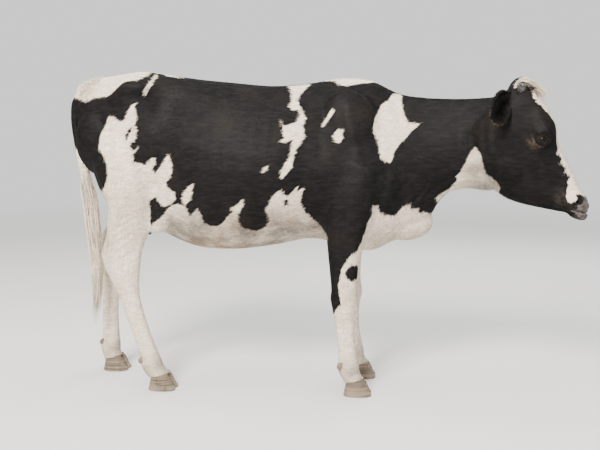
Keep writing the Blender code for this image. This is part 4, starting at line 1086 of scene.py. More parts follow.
# The same of the left side, seen straight on, as (x, z) in metres. It isn't in the photo, and has a
# design of its own.
WHITE_LEFT = {
    "rump": ((-1.050, 1.255), (-1.050, 1.350), (-0.900, 1.420), (-0.560, 1.420), (-0.545, 1.335),
        (-0.600, 1.290), (-0.640, 1.215), (-0.700, 1.190), (-0.745, 1.225), (-0.800, 1.235), (-0.830, 1.180),
        (-0.870, 1.150), (-0.905, 1.170), (-0.930, 1.130), (-0.960, 1.160),
    ),
    "thigh": ((-0.900, 0.960), (-0.850, 1.010), (-0.800, 0.985), (-0.765, 1.020), (-0.720, 1.000),
        (-0.700, 0.930), (-0.650, 0.900), (-0.600, 0.925), (-0.560, 0.880), (-0.575, 0.800),
        (-0.520, 0.770), (-0.450, 0.800), (-0.400, 0.770), (-0.360, 0.705), (-0.300, 0.720),
        (-0.230, 0.690), (-0.190, 0.740), (-0.140, 0.800), (-0.110, 0.780), (-0.080, 0.710),
        (-0.020, 0.700), (0.030, 0.740), (0.075, 0.760), (0.110, 0.700), (0.130, 0.640),
        (0.140, 0.500), (-0.300, 0.400), (-0.500, 0.400), (-0.600, -0.200), (-1.100, -0.200),
        (-1.100, 0.500), (-0.950, 0.700), (-0.930, 0.850),
    ),
    "saddle": ((-0.330, 1.420), (-0.345, 1.290), (-0.315, 1.240), (-0.330, 1.170), (-0.290, 1.110),
        (-0.235, 1.125), (-0.205, 1.060), (-0.150, 1.030), (-0.115, 1.080), (-0.130, 1.150),
        (-0.085, 1.185), (-0.060, 1.240), (-0.075, 1.300), (-0.030, 1.420),
    ),
    "barrel": ((-0.420, 0.990), (-0.385, 1.020), (-0.350, 1.000), (-0.330, 0.940), (-0.350, 0.880),
        (-0.395, 0.865), (-0.430, 0.900), (-0.440, 0.950),
    ),
    "drop a": ((-0.020, 0.930), (0.000, 0.965), (0.020, 0.930), (0.010, 0.880), (-0.012, 0.880)),
    "drop b": ((-0.510, 1.100), (-0.485, 1.120), (-0.470, 1.090), (-0.480, 1.060), (-0.505, 1.065)),
    "withers": ((0.090, 1.420), (0.100, 1.305), (0.150, 1.290), (0.210, 1.300), (0.270, 1.285),
        (0.330, 1.300), (0.350, 1.420),
    ),
    "shoulder": ((0.400, 1.180), (0.450, 1.215), (0.500, 1.190), (0.495, 1.130), (0.520, 1.080),
        (0.490, 1.020), (0.455, 0.985), (0.425, 1.010), (0.385, 1.050), (0.395, 1.110),
        (0.370, 1.150),
    ),
    "brisket": ((0.300, 0.790), (0.340, 0.800), (0.390, 0.770), (0.440, 0.785), (0.500, 0.765),
        (0.620, 0.770), (0.620, 0.600), (0.400, 0.560), (0.330, 0.560), (0.345, 0.500),
        (0.420, -0.200), (0.050, -0.200), (0.120, 0.430), (0.165, 0.440), (0.185, 0.500),
        (0.225, 0.520), (0.255, 0.590), (0.270, 0.700),
    ),
    "throat": ((0.720, 0.960), (0.735, 0.985), (0.765, 1.000), (0.785, 0.960), (0.810, 0.940),
        (0.845, 0.925), (0.900, 0.905), (0.900, 0.820), (0.620, 0.800), (0.650, 0.860),
        (0.690, 0.905),
    ),
}
BLACK_LEFT = {
    "thigh island": ((-0.800, 0.900), (-0.765, 0.915), (-0.740, 0.890), (-0.755, 0.850), (-0.790, 0.855)),
    "hock island": ((-0.700, 0.740), (-0.675, 0.760), (-0.655, 0.730), (-0.670, 0.700)),
    "belly island": ((-0.260, 0.655), (-0.225, 0.665), (-0.200, 0.645), (-0.225, 0.625)),
}


def inside_distance(points, outline):
    """How far points of a plane lie inside an outline, or below zero how far outside, at most MARK_REACH."""
    outline = np.asarray(outline, float)
    depth = np.full(len(points), -MARK_REACH)
    low, high = outline.min(axis=0) - MARK_REACH, outline.max(axis=0) + MARK_REACH
    near = np.all((points > low) & (points < high), axis=1)
    if not near.any():
        return depth
    p = points[near]
    away = np.full(len(p), MARK_REACH)
    odd = np.zeros(len(p), bool)
    for a, b in zip(outline, np.roll(outline, -1, axis=0)):
        along = b - a
        part = np.clip(((p - a) @ along) / max(along @ along, 1e-12), 0.0, 1.0)
        away = np.minimum(away, np.linalg.norm(p - a - part[:, None] * along, axis=1))
        if a[1] != b[1]:
            crosses = (p[:, 1] > a[1]) != (p[:, 1] > b[1])
            odd ^= crosses & (p[:, 0] < a[0] + (p[:, 1] - a[1]) * along[0] / along[1])
    depth[near] = np.where(odd, away, -away)
    return depth


def patched(plane, whites, blacks, unit=1.0):
    """How deep in white hair points of a plane lie. The outlines are in this unit, in metres."""
    depth = np.full(len(plane), -MARK_REACH)
    for outline in whites.values():
        depth = np.maximum(depth, inside_distance(plane, np.multiply(outline, unit)))
    for outline in blacks.values():
        depth = np.minimum(depth, -inside_distance(plane, np.multiply(outline, unit)))
    return depth


def in_photo(points):
    """Where the camera sees points, in the photo's pixels."""
    right = np.array([math.cos(CAMERA_TURN), math.sin(CAMERA_TURN), 0.0])
    level = np.array([-math.sin(CAMERA_TURN), math.cos(CAMERA_TURN), 0.0])
    up = level * math.sin(CAMERA_DIP) + np.array([0.0, 0.0, math.cos(CAMERA_DIP)])
    ahead = np.cross(up, right)
    seen = points - np.array(CAMERA_AT)
    scale = PHOTO_FOCAL / (seen @ ahead)
    return np.stack([PHOTO_MIDDLE[0] + seen @ right * scale, PHOTO_MIDDLE[1] - seen @ up * scale], axis=1)


# The blaze, in the head's frame: the place down the face, how far it reaches to the right and to the
# left, and how low on the sides
BLAZE = (
    (-0.150, -0.060, -0.060, 0.150), (-0.125, -0.020, -0.020, 0.150), (-0.108, 0.034, 0.036, 0.150),
    (-0.075, 0.050, 0.052, 0.150), (-0.042, 0.054, 0.058, 0.150), (-0.011, 0.071, 0.056, 0.160),
    (0.023, 0.062, 0.042, 0.165), (0.055, 0.054, 0.034, 0.160), (0.080, 0.036, 0.030, 0.150),
    (0.105, 0.023, 0.028, 0.135), (0.127, 0.021, 0.030, 0.115), (0.155, 0.036, 0.036, 0.095),
    (0.183, 0.048, 0.040, 0.080), (0.204, 0.045, 0.044, 0.070), (0.233, 0.045, 0.045, 0.058),
    (0.259, 0.043, 0.047, 0.045), (0.286, 0.040, 0.050, 0.036), (0.304, 0.052, 0.054, 0.028),
    (0.314, 0.066, 0.058, 0.006), (0.326, 0.070, 0.062, -0.011), (0.345, 0.070, 0.064, -0.021),
    (0.357, 0.070, 0.064, -0.025), (0.363, 0.070, 0.064, -0.010), (0.372, 0.066, 0.062, 0.020),
    (0.400, 0.050, 0.050, 0.030),
)
# The white arc of hair round the back of each horn, in the head's frame for the left one
HORN_ARC = (
    (-0.055, 0.026, 0.234), (-0.086, 0.024, 0.231), (-0.102, 0.034, 0.214), (-0.104, 0.047, 0.196),
    (-0.098, 0.058, 0.184),
)
HORN_ARC_HALF = 0.0050
# Where the bare skin of the muzzle begins: (height, place down the face)
PAD_EDGE = (
    (-0.065, 0.408), (-0.045, 0.393), (-0.030, 0.389), (-0.018, 0.386),
    (-0.008, 0.377), (0.004, 0.370), (0.020, 0.374), (0.050, 0.366),
)
TAIL_WHITE_BELOW = 1.045


def on_body(points):
    """How deep each point of the body lies in white hair, below zero how deep in black."""
    right = patched(in_photo(points) * PIXEL, WHITE_RIGHT_PIXELS, BLACK_RIGHT_PIXELS, PIXEL)
    left = patched(points[:, [0, 2]], WHITE_LEFT, BLACK_LEFT)
    middle = np.interp(points[:, 0], [0.5, 0.9], [0.0, -0.10])
    share = step(points[:, 1] - middle, -0.030, 0.030)
    depth = right * (1 - share) + left * share
    belly = (points[:, 0] < 0.46) & (points[:, 2] < 0.80) & (np.abs(points[:, 1]) < 0.16)
    under = 0.05 * step(-points[:, 2], -0.66, -0.62) * step(-np.abs(points[:, 1]), -0.17, -0.10)
    depth = np.where(belly, np.maximum(depth, under - 0.02), depth)
    inner_leg = (points[:, 2] < 0.62) & (points[:, 0] < -0.45)
    return np.where(inner_leg, MARK_REACH * 0.8, depth)


def on_face(head):
    """The same on the head, in its own frame."""
    down, across, out = head.T
    places, right, left, low = np.array(BLAZE).T
    reach = np.where(across < 0, np.interp(down, places, right), np.interp(down, places, left))
    ragged = 0.002 * np.sin(down * 171.0) + 0.0015 * np.sin(down * 363.0 + 1.3)
    blaze = np.minimum(reach - np.abs(across), out - np.interp(down, places, low)) + ragged
    mirrored = np.stack([down, np.abs(across), out], axis=1)
    near = (down < 0.0) & (out > 0.15)
    away = np.full(len(head), MARK_REACH)
    away[near] = nearest_on(mirrored[near], HORN_ARC)[0]
    blaze = np.maximum(blaze, HORN_ARC_HALF - away)
    return np.clip(blaze, -MARK_REACH, MARK_REACH)


# The line behind the head in side view, where its own marks begin
HEAD_EDGE = ((0.842, 1.300), (0.768, 0.860))


def head_share(points, head):
    """1 on the head, 0 on the neck and the rest."""
    (top_x, top_z), (bottom_x, bottom_z) = HEAD_EDGE
    line = top_x + (points[:, 2] - top_z) * (top_x - bottom_x) / (top_z - bottom_z)
    crown = step(points[:, 0] - line, -0.005, 0.020) * step(points[:, 2], 1.17, 1.22)
    jaw = step(head[:, 0] * 0.85 - head[:, 2] * 0.25, -0.075, -0.045)
    return np.maximum(crown, jaw) * (points[:, 0] > 0.66)


def whiteness(points):
    """How deep in white hair each point of the whole animal lies."""
    x, y, z = points.T
    head = to_head(points)
    depth = on_body(points)
    is_head = head_share(points, head)
    throat = (head[:, 0] < 0.12) & (head[:, 2] < -0.05)
    on_throat = np.where(throat, depth, -MARK_REACH)
    depth = depth * (1 - is_head) + np.maximum(on_face(head), on_throat * is_head) * is_head
    tail = (x < -0.955 + 0.10 * step(-z, -1.10, -0.70)) & (np.abs(y) < 0.055) & (z < 1.235) & (z > 0.2)
    on_tail = np.clip(TAIL_WHITE_BELOW + 0.02 * np.sin(y * 90) - z, -MARK_REACH, MARK_REACH)
    return np.where(tail, on_tail, depth)


def bareness(points):
    """1 on the bare skin of the nose and lips and on the teats."""
    down, across, out = to_head(points).T
    heights, edges = np.array(PAD_EDGE).T
    pad = step(down - np.interp(out, heights, edges), -0.004, 0.004) * (np.abs(across) < 0.075)
    lip_line = np.interp(down, *np.array(MOUTH_LINE).T)
    lips = step(down, 0.352, 0.385) * bell(out - lip_line, 0.012) * (np.abs(across) < 0.07)
    bare = np.maximum(pad, lips)
    body = (np.abs(points[:, 1]) < 0.07) & (points[:, 2] < 0.700) & (points[:, 2] > 0.6)
    rows = np.min([np.abs(points[:, 0] - x) for x in TEAT_ROWS], axis=0)
    teats = body * step(-rows, -0.020, -0.012) * step(-points[:, 2], -0.700, -0.672)
    return np.clip(np.maximum(bare, teats), 0, 1)


def stains_and_shade(points):
    """How far the white hair is stained with tan and grey; on the belly and the throat this is partly painted
    shade.
    """
    x, y, z = points.T
    u, v = in_photo(points).T
    down, _, out = to_head(points).T
    throat = step(u, 452, 476) * step(v, 150, 172) * step(-u, -532, -515)
    marks = {
        "feet": 0.55 * step(-z, -0.16, -0.02),
        "knees": 0.50 * bell(z - 0.42, 0.05) * (x > 0.0) * step(x, 0.15, 0.25),
        "fetlocks": 0.60 * bell(z - 0.10, 0.06),
        "hocks": 0.45 * bell(x + 0.80, 0.06) * bell(z - 0.62, 0.07),
        # The belly and the throat are partly stained and partly painted shade, the shade under the body and
        # under the head
        "belly": 0.95 * step(-z, -0.84, -0.70) * step(x, -0.62, -0.50) * (x < 0.15) * (z > 0.5),
        "throat": 0.80 * throat * (x > 0.5),
        "brisket": 0.35 * step(u, 362, 380) * step(v, 215, 240) * (x > 0.2) * (x < 0.7) * (z > 0.6),
        "thighs": 0.32 * bell(x + 0.68, 0.14) * bell(z - 0.80, 0.16),
        "tail": 0.80 * (x < -0.86) * (np.abs(y) < 0.06) * step(-z, -1.02, -0.55),
        "jaw": 0.40 * bell(down + 0.06, 0.06) * bell(out + 0.11, 0.05),
    }
    return np.clip(np.max(list(marks.values()), axis=0), 0, 1)


# Where black hair is bleached to tan: places of the head's frame, how far, how much
BLEACHED = (
    ((0.078, 0.091, 0.083), 0.006, 0.70), ((0.089, 0.091, 0.077), 0.007, 1.00),
    ((0.101, 0.091, 0.072), 0.007, 1.00), ((0.114, 0.091, 0.070), 0.007, 0.95),
    ((0.128, 0.088, 0.071), 0.006, 0.95), ((0.138, 0.084, 0.077), 0.005, 0.70),
    ((0.085, 0.088, 0.062), 0.012, 0.60), ((0.107, 0.086, 0.058), 0.012, 0.65),
    ((0.141, 0.081, 0.114), 0.007, 0.45), ((0.325, 0.055, -0.030), 0.030, 0.28),
)
# The pale rim under each nostril, in the head's frame, partly pale skin and partly a painted highlight
NOSTRIL_RIM = ((0.379, 0.050, -0.016), (0.386, 0.052, -0.008), (0.392, 0.050, 0.002))


def to_left_half(points):
    """Points in the head's frame, those of its right half mirrored to the left one."""
    head = to_head(points)
    head[:, 1] = np.abs(head[:, 1])
    return head


def rust(points):
    """How far black hair is bleached to tan at each point."""
    head = to_left_half(points)
    marks = np.zeros(len(points))
    for place, reach, share in BLEACHED:
        marks = np.maximum(marks, share * bell(np.linalg.norm(head - np.array(place), axis=1), reach))
    return marks


def pale_rim_and_highlight(points):
    """1 on the pale rim under the nostrils, partly pale skin and partly a painted highlight."""
    head = to_left_half(points)
    near = np.linalg.norm(head - np.array(NOSTRIL_RIM[1]), axis=1) < 0.05
    pale = np.zeros(len(points))
    pale[near] = bell(nearest_on(head[near], NOSTRIL_RIM)[0], 0.0042) * 0.8
    return pale


# Pieces beside the skin


def shaded_smooth(piece):
    mesh = piece.data
    mesh.polygons.foreach_set("use_smooth", np.ones(len(mesh.polygons), bool))
    mesh.update()


def float_layer(piece, name, values):
    layer = piece.data.attributes.new(name, "FLOAT", "POINT")
    layer.data.foreach_set("value", np.asarray(values, np.float32))


def flat_layers(piece, **values):
    """Layers that are the same all over a piece."""
    for name, value in values.items():
        float_layer(piece, name, np.full(len(piece.data.vertices), value))


def own_points(piece):
    flat = np.zeros(len(piece.data.vertices) * 3)
    piece.data.vertices.foreach_get("co", flat)
    return flat.reshape(-1, 3)


def mark_layers(piece):
    """The layers that tell a surface's marks. An ear has a layer called along of its own."""
    points = own_points(piece)
    float_layer(piece, "white", whiteness(points))
    float_layer(piece, "stain", stains_and_shade(points))
    float_layer(piece, "rust", rust(points))
    flat_layers(piece, tone=0.5)
    if "along" not in piece.data.attributes:
        flat_layers(piece, along=0.6)


EYE_LEVELS = 96
EYE_TURNS = 96
# How far the eyeball stays under its full size
EYE_PLAY = 0.0006
# The cornea's dome, the iris, and half the length and half the height of the pupil
CORNEA_ANGLE = math.radians(36)
CORNEA_RISE = 0.0016
IRIS_ANGLE = math.radians(37)
PUPIL_LONG = 0.0085
PUPIL_HIGH = 0.0042


def eye_piece(name, side):
    """An eyeball with a domed cornea. Its layers tell iris and pupil."""
    out, along, up = eye_axes(side)
    centre = sided(EYE_AT, side)
    rings = []
    for i in range(1, EYE_LEVELS):
        a = math.pi * i / EYE_LEVELS
        rise = CORNEA_RISE * (1 + math.cos(math.pi * min(1.0, a / CORNEA_ANGLE))) / 2
        r = EYE_RADIUS - EYE_PLAY + rise
        rings.append([
            centre + out * r * math.cos(a)
            + (along * math.cos(b) + up * math.sin(b)) * r * math.sin(a)
            for b in np.arange(EYE_TURNS) * math.tau / EYE_TURNS
        ])
    piece = loft(name, rings)
    q = own_points(piece) - centre
    angle = np.arccos(np.clip(q @ out / np.linalg.norm(q, axis=1), -1, 1))
    slot = np.hypot(np.clip(np.abs(q @ along) - (PUPIL_LONG - PUPIL_HIGH), 0, None), q @ up)
    front = (q @ out) > 0
    float_layer(piece, "iris", step(-angle, -IRIS_ANGLE - 0.03, -IRIS_ANGLE + 0.03))
    float_layer(piece, "pupil", step(-slot, -PUPIL_HIGH - 0.0006, -PUPIL_HIGH + 0.0006) * front)
    float_layer(piece, "out", angle / IRIS_ANGLE)
    on_head(piece)
    shaded_smooth(piece)
    return piece


def ear_frame(side):
    along = Vector(sided(EAR_AXIS, side)).normalized()
    opening = Vector(sided(EAR_OPENING, side))
    opening = (opening - along * opening.dot(along)).normalized()
    across = opening.cross(along)
    turn = Matrix.Rotation(EAR_YAW, 4, "Z") @ Matrix((along, across, opening)).transposed().to_4x4()
    return Matrix.Translation(head_matrix() @ Vector(sided(EAR_AT, side))) @ turn


# Along the ear: half width and depth of its cup, as shares of EAR_HALF_WIDTH
EAR_STEPS = (
    (-0.20, 0.26, 0.34), (-0.10, 0.27, 0.34), (0.05, 0.36, 0.42), (0.18, 0.64, 0.56), (0.35, 0.94, 0.62),
    (0.52, 1.00, 0.56), (0.70, 0.90, 0.44), (0.85, 0.64, 0.31), (0.95, 0.35, 0.18), (1.00, 0.10, 0.06),
)
EAR_WALL = 0.0035
EAR_THINNEST = 0.002
# How high the cup stands over the ear's axis, as a share of its depth, and how far its rims curl up
EAR_LIFT = 0.32
EAR_CURL = 0.10
EAR_ROWS = 56
EAR_TURNS = 40


def ear_piece(name, side):
    """A cupped shell: the outside goes round the back from rim to rim, the inside comes back."""
    table = np.array(EAR_STEPS)
    levels = np.linspace(table[0, 0], table[-1, 0], EAR_ROWS)
    sizes = through(table[:, 0], table[:, 1:], levels) * EAR_HALF_WIDTH
    rings = []
    for level, (half, depth) in zip(levels, np.maximum(sizes, EAR_THINNEST)):
        opened = float(step(level, -0.04, 0.16))
        wall = min(EAR_WALL, 0.45 * depth)
        curl = EAR_CURL * half * math.sin(math.pi * min(1.0, max(0.0, level)))
        ring = []
        for k in range(EAR_TURNS):
            part = k / EAR_TURNS
            if part < 0.5:
                a = math.pi + math.tau * part
                y, z = half * math.cos(a), depth * math.sin(a)
            else:
                a = math.pi - (math.tau * part - math.pi)
                across, below = math.cos(math.pi - a), math.sin(a)
                y = half * across * (1 - opened) + (half - wall) * across * opened
                z = 0.35 * depth * below * (1 - opened) + -(depth - wall) * below * opened
            z += depth * EAR_LIFT * opened + curl * (y / half) ** 2
            ring.append((level * EAR_LENGTH, y * side, z))
        rings.append(ring)
    piece = loft(name, rings)
    piece.data.transform(ear_frame(side))
    local = np.array(ear_frame(side).inverted())
    along = own_points(piece) @ local[0, :3] + local[0, 3]
    float_layer(piece, "along", along / EAR_LENGTH)
    shaded_smooth(piece)
    return piece


# Up the claw: part of its height, how far the toe and the heel stand back from the sole's, and width
CLAW_LEVELS = (
    (-0.035, 0.000, 0.000, 0.90),
    (0.0, 0.000, 0.000, 0.965),
    (0.06, 0.003, 0.003, 1.0),
    (0.30, -0.007, 0.000, 1.0),
    (0.60, -0.017, -0.003, 1.0),
    (0.85, -0.028, -0.006, 0.98),
    (1.0, -0.036, -0.008, 0.955),
)
CLAW_ROWS = 44
CLAW_TURNS = 48
# How a claw's width is shared between its outer and its inner half
CLAW_OUTER = 0.62
CLAW_INNER = 0.38
# How near a foot's middle, along and across, a point has to be to belong to it
FOOT_REACH = (0.12, 0.11)


def coronet_line(foot):
    """The line of the coronet in side view, over the foot at this x."""
    return (foot + CORONET_REACH, CORONET_FRONT), (foot - CORONET_REACH, CORONET_REAR)


def at_foot(points, foot, middle):
    """Which points are near a foot, and how high the line of its coronet runs at each."""
    (front_x, front_z), (rear_x, rear_z) = coronet_line(foot)
    x, y, _ = points.T
    line = rear_z + (x - rear_x) * (front_z - rear_z) / (front_x - rear_x)
    return (np.abs(x - foot) < FOOT_REACH[0]) & (np.abs(y - middle) < FOOT_REACH[1]), line


def claw_piece(name, foot, middle, side):
    """One half of a hoof, with growth rings and a flat sole."""
    front, rear = coronet_line(foot)
    slope = (front[1] - rear[1]) / (front[0] - rear[0])
    toe, heel = foot + CLAW_TOE - 0.004, foot + CLAW_TOE - CLAW_LENGTH + 0.004
    table = np.array(CLAW_LEVELS)
    parts = np.linspace(0.0, 1.0, CLAW_ROWS)
    rows = through(table[:, 0], table[:, 1:], parts)
    rings = []
    for part, (tip, back, spread) in zip(parts, rows):
        ring = []
        growth = 0.0006 * math.sin(part * 47.0) + 0.0004 * math.sin(part * 103.0 + 1.0)
        growth *= math.sin(math.pi * min(1.0, part * 1.1))
        for k in range(CLAW_TURNS):
            a = math.tau * k / CLAW_TURNS
            x = (toe + tip + heel - back) / 2 + (toe + tip - heel + back) / 2 * math.cos(a)
            out = math.sin(a)
            reach = CLAW_WIDTH * spread * (CLAW_OUTER if out > 0 else CLAW_INNER) * abs(out) ** 0.75
            reach += growth * abs(out)
            x += growth * math.cos(a)
            y = middle + side * (CLAW_CLEFT / 2 + CLAW_WIDTH * CLAW_INNER + math.copysign(reach, out))
            ring.append((x, y, part * (rear[1] + (x - rear[0]) * slope + 0.0035)))
        rings.append(ring)
    piece = loft(name, rings)
    float_layer(piece, "height", own_points(piece)[:, 2] / CORONET_FRONT)
    shaded_smooth(piece)
    return piece


PEG_ROWS = 20
PEG_SIDES = 24


def peg_piece(name, at, axis, radius, height, taper=0.0):
    """A small blunt horn, sunk in at its root."""
    up = Vector(axis).normalized()
    across = up.orthogonal().normalized()
    third = up.cross(across)
    rings = []
    for part in np.linspace(-0.9, 1.0, PEG_ROWS):
        r = radius * (1.0 if part < 0 else (1 - taper * part) * math.sqrt(max(0.0, 1 - part ** 3.2)))
        r += 0.00035 * math.sin(part * 31)
        centre = Vector(at) + up * (part * height)
        rings.append([
            centre + (across * math.cos(a) + third * math.sin(a)) * max(r, 0.0005)
            for a in np.arange(PEG_SIDES) * math.tau / PEG_SIDES
        ])
    piece = loft(name, rings)
    shaded_smooth(piece)
    return piece


# Hair


def turned(directions, normals, angles):
    """Directions turned about their normals."""
    across = np.cross(normals, directions)
    return directions * np.cos(angles)[:, None] + across * np.sin(angles)[:, None]


def unit(vectors):
    return vectors / np.maximum(np.linalg.norm(vectors, axis=1), 1e-9)[:, None]


def flat_on(directions, normals):
    """Directions laid down on the surface."""
    laid = directions - normals * np.sum(directions * normals, axis=1)[:, None]
    return unit(laid)


# The lie of the hair along the body, from the rump to the neck: (x, the way along x, the way along z)
LIE = (
    (-1.00, -0.10, -1.00), (-0.88, -0.35, -0.95), (-0.70, -0.80, -0.60), (-0.45, -1.00, -0.30),
    (0.05, -1.00, -0.35), (0.25, -0.75, -0.70), (0.42, -0.70, -0.75), (0.60, -0.95, -0.40),
    (0.95, -1.00, -0.35),
)
# The lie on the legs and the tail, and on the cheeks: (down the face, forward), and downward
LIE_OF_LEGS = (-0.10, 0.0, -1.0)
LIE_OF_TAIL = (0.05, 0.0, -1.0)
LIE_OF_CHEEKS = ((-0.10, -0.75), (0.02, -0.25), (0.12, 0.35), (0.30, 0.75))
CHEEKS_DOWN = -0.70
# Where the hair of the face parts, in the head's frame
WHORL = (0.060, 0.0, 0.190)


def lie_of(points, normals, head):
    """Which way the hair lies at each point."""
    x, y, z = points.T
    places, backs, downs = np.array(LIE).T
    way = np.stack([np.interp(x, places, backs), np.zeros(len(points)), np.interp(x, places, downs)], axis=1)
    leg = step(-z, -0.86, -0.66) * (x < 0.48)
    leg = np.where((x > -0.55) & (x < 0.10) & (z > 0.52), 0.0, leg)
    way = way * (1 - leg[:, None]) + np.array(LIE_OF_LEGS) * leg[:, None]
    way[(x < -0.90) & (np.abs(y) < 0.06)] = LIE_OF_TAIL
    is_head = head_share(points, head)
    forehead = unit((head - np.array(WHORL)) * np.array([1.0, 0.55, 0.4]))
    forward = np.interp(head[:, 0], *np.array(LIE_OF_CHEEKS).T)
    cheek = np.stack([forward, np.zeros(len(head)), np.full(len(head), CHEEKS_DOWN)], axis=1)
    side = step(np.abs(head[:, 1]), 0.045, 0.070) * step(-head[:, 2], -0.17, -0.09)
    face = way_from_head(forehead * (1 - side[:, None]) + cheek * side[:, None])
    way = flat_on(way * (1 - is_head[:, None]) + face * is_head[:, None], normals)
    swirl = 0.16 * np.sin(x * 17 + z * 9) + 0.12 * np.sin(z * 31 - x * 23)
    return turned(way, normals, swirl * (1 - 0.6 * is_head))


# Length and width of a tuft: on the body, the legs, the head, round the eyes and on the muzzle, and
# on the ears
TUFT_BODY = (0.0195, 0.0033)
TUFT_LEG = (0.0140, 0.0026)
TUFT_HEAD = (0.0105, 0.0019)
TUFT_FINE = (0.0062, 0.0013)
TUFT_EAR = (0.013, 0.0019)
# How much longer the hair is on the brisket and on the poll, whose middle is in the head's frame
BRISKET_LONGER = 0.006
POLL_LONGER = 0.010
POLL = (-0.10, 0.0, 0.23)


def size_of(points, head):
    """Length and width of a tuft at each point."""
    x, _, z = points.T
    low = step(-z, -0.66, -0.50) * (x < 0.50)
    is_head = step(head[:, 0] * 0.85 - head[:, 2] * 0.25, -0.12, -0.040) * (x > 0.66)
    fine = step(head[:, 0], 0.24, 0.35)
    for side in (1, -1):
        away = np.linalg.norm(head - sided(EYE_AT, side), axis=1)
        fine = np.maximum(fine, step(-away, -0.070, -0.035))
    sizes = np.tile(TUFT_BODY, (len(points), 1))
    for share, size in ((low, TUFT_LEG), (is_head, TUFT_HEAD), (fine * is_head, TUFT_FINE)):
        sizes += share[:, None] * (size - sizes)
    length, width = sizes.T
    length = length + (x > 0.30) * (x < 0.72) * step(-z, -0.90, -0.72) * BRISKET_LONGER
    length += bell(np.linalg.norm(head - np.array(POLL), axis=1), 0.05) * POLL_LONGER
    return length, width


# The ragged hair on top of the rump, before the tail, and the loose hair under the throat:
# place and reach along the body, height above the floor, and how high the hair stands at most
RAGGED_RUMP = ((-0.905, 0.055), 1.235, 0.020)
RAGGED_THROAT = ((0.80, 0.09), 0.99, 0.010)


def raised(points):
    """How high the hair stands up off the surface at each point, at most."""
    x, y, z = points.T
    (middle, reach), height, most = RAGGED_RUMP
    rump = most * bell(x - middle, reach) * step(z, height, height + 0.03) * (np.abs(y) < 0.16)
    (middle, reach), height, most = RAGGED_THROAT
    return rump + most * bell(x - middle, reach) * step(-z, -height, 0.06 - height)


def mesh_from(name, points, triangles):
    """A mesh of triangles whose faces stay as they are told."""
    mesh = bpy.data.meshes.new(name)
    mesh.vertices.add(len(points))
    mesh.vertices.foreach_set("co", np.asarray(points, np.float32).ravel())
    mesh.loops.add(len(triangles) * 3)
    mesh.loops.foreach_set("vertex_index", np.asarray(triangles, np.int32).ravel())
    mesh.polygons.add(len(triangles))
    mesh.polygons.foreach_set("loop_start", np.arange(len(triangles), dtype=np.int32) * 3)
    mesh.update(calc_edges=True)
    return placed(name, mesh)


def bake_layer(piece, spots, faces):
    """The piece's own place on the map for the bake: a spot for each point, told face by face."""
    layer = piece.data.uv_layers.new(name="OFBake")
    layer.data.foreach_set("uv", spots.reshape(-1, 2)[faces.ravel()].astype(np.float32).ravel())


# A tuft: a three-sided root and a tip. Each point is (across, above, along).
TUFT = np.array([(-0.50, 0.0, 0.0), (0.50, 0.0, 0.0), (0.0, 1.0, 0.12), (0.0, 0.0, 1.0)])
TUFT_FACES = np.array([(0, 1, 2), (0, 3, 1), (1, 3, 2), (2, 3, 0)])
# The sign of a tuft's volume, corner by corner, when its faces look outwards
TUFT_TURN = -1.0
# Where its points lie on its patch of the map
TUFT_MAP = np.array([(-0.5, -0.5), (0.5, -0.5), (0.0, -0.2), (0.0, 0.5)])
# How large a hair's patch is on the map, and how many tufts a piece has at most
PATCH = 0.003
PIECE_TUFTS = 48000
# How high a tuft's root and tip stand over the surface, and how deep its other corners lie in it
ROOT_HEIGHT = 0.0011
TIP_HEIGHT = 0.0010
ROOT_DEPTH = 0.0004


class Surface:
    """A mesh read once: its triangles, a tree for the nearest place, and its layers."""

    def __init__(self, piece, layers):
        mesh = piece.data
        mesh.calc_loop_triangles()
        self.triangles = np.zeros(len(mesh.loop_triangles) * 3, np.int32)
        mesh.loop_triangles.foreach_get("vertices", self.triangles)
        self.triangles = self.triangles.reshape(-1, 3)
        self.points = own_points(piece)
        normals = np.zeros(len(mesh.vertices) * 3, np.float32)
        mesh.vertex_normals.foreach_get("vector", normals)
        self.normals = normals.reshape(-1, 3).astype(float)
        self.layers = {}
        for name in layers:
            values = np.zeros(len(mesh.vertices), np.float32)
            mesh.attributes[name].data.foreach_get("value", values)
            self.layers[name] = values.astype(float)
        a, b, c = self.points[self.triangles].transpose(1, 0, 2)
        self.areas = np.linalg.norm(np.cross(b - a, c - a), axis=1) / 2
        self.tree = BVHTree.FromPolygons(self.points.tolist(), self.triangles.tolist())

    def scattered(self, density, draw):
        """Places spread by a density for each area: triangle numbers and corner shares."""
        heap = np.cumsum(self.areas * density)
        count = int(heap[-1])
        picks = np.searchsorted(heap, (np.arange(count) + draw.random(count)) / count * heap[-1])
        picks = np.minimum(picks, len(self.areas) - 1)
        a, b = draw.random(count), draw.random(count)
        over = a + b > 1
        a[over], b[over] = 1 - a[over], 1 - b[over]
        return picks, np.stack([1 - a - b, a, b], axis=1)

    def blend(self, values, picks, shares):
        corners = values[self.triangles[picks]]
        if corners.ndim == 3:
            return np.sum(corners * shares[:, :, None], axis=1)
        return np.sum(corners * shares, axis=1)

    def nearest(self, points):
        """The nearest place on the mesh to each point, and the smooth normal there."""
        places = np.empty_like(points)
        faces = np.empty(len(points), int)
        find = self.tree.find_nearest
        for i, point in enumerate(points.tolist()):
            place, _, face, _ = find(point)
            places[i] = place
            faces[i] = face
        normals = unit(self.normals[self.triangles[faces]].mean(axis=1))
        return places, normals


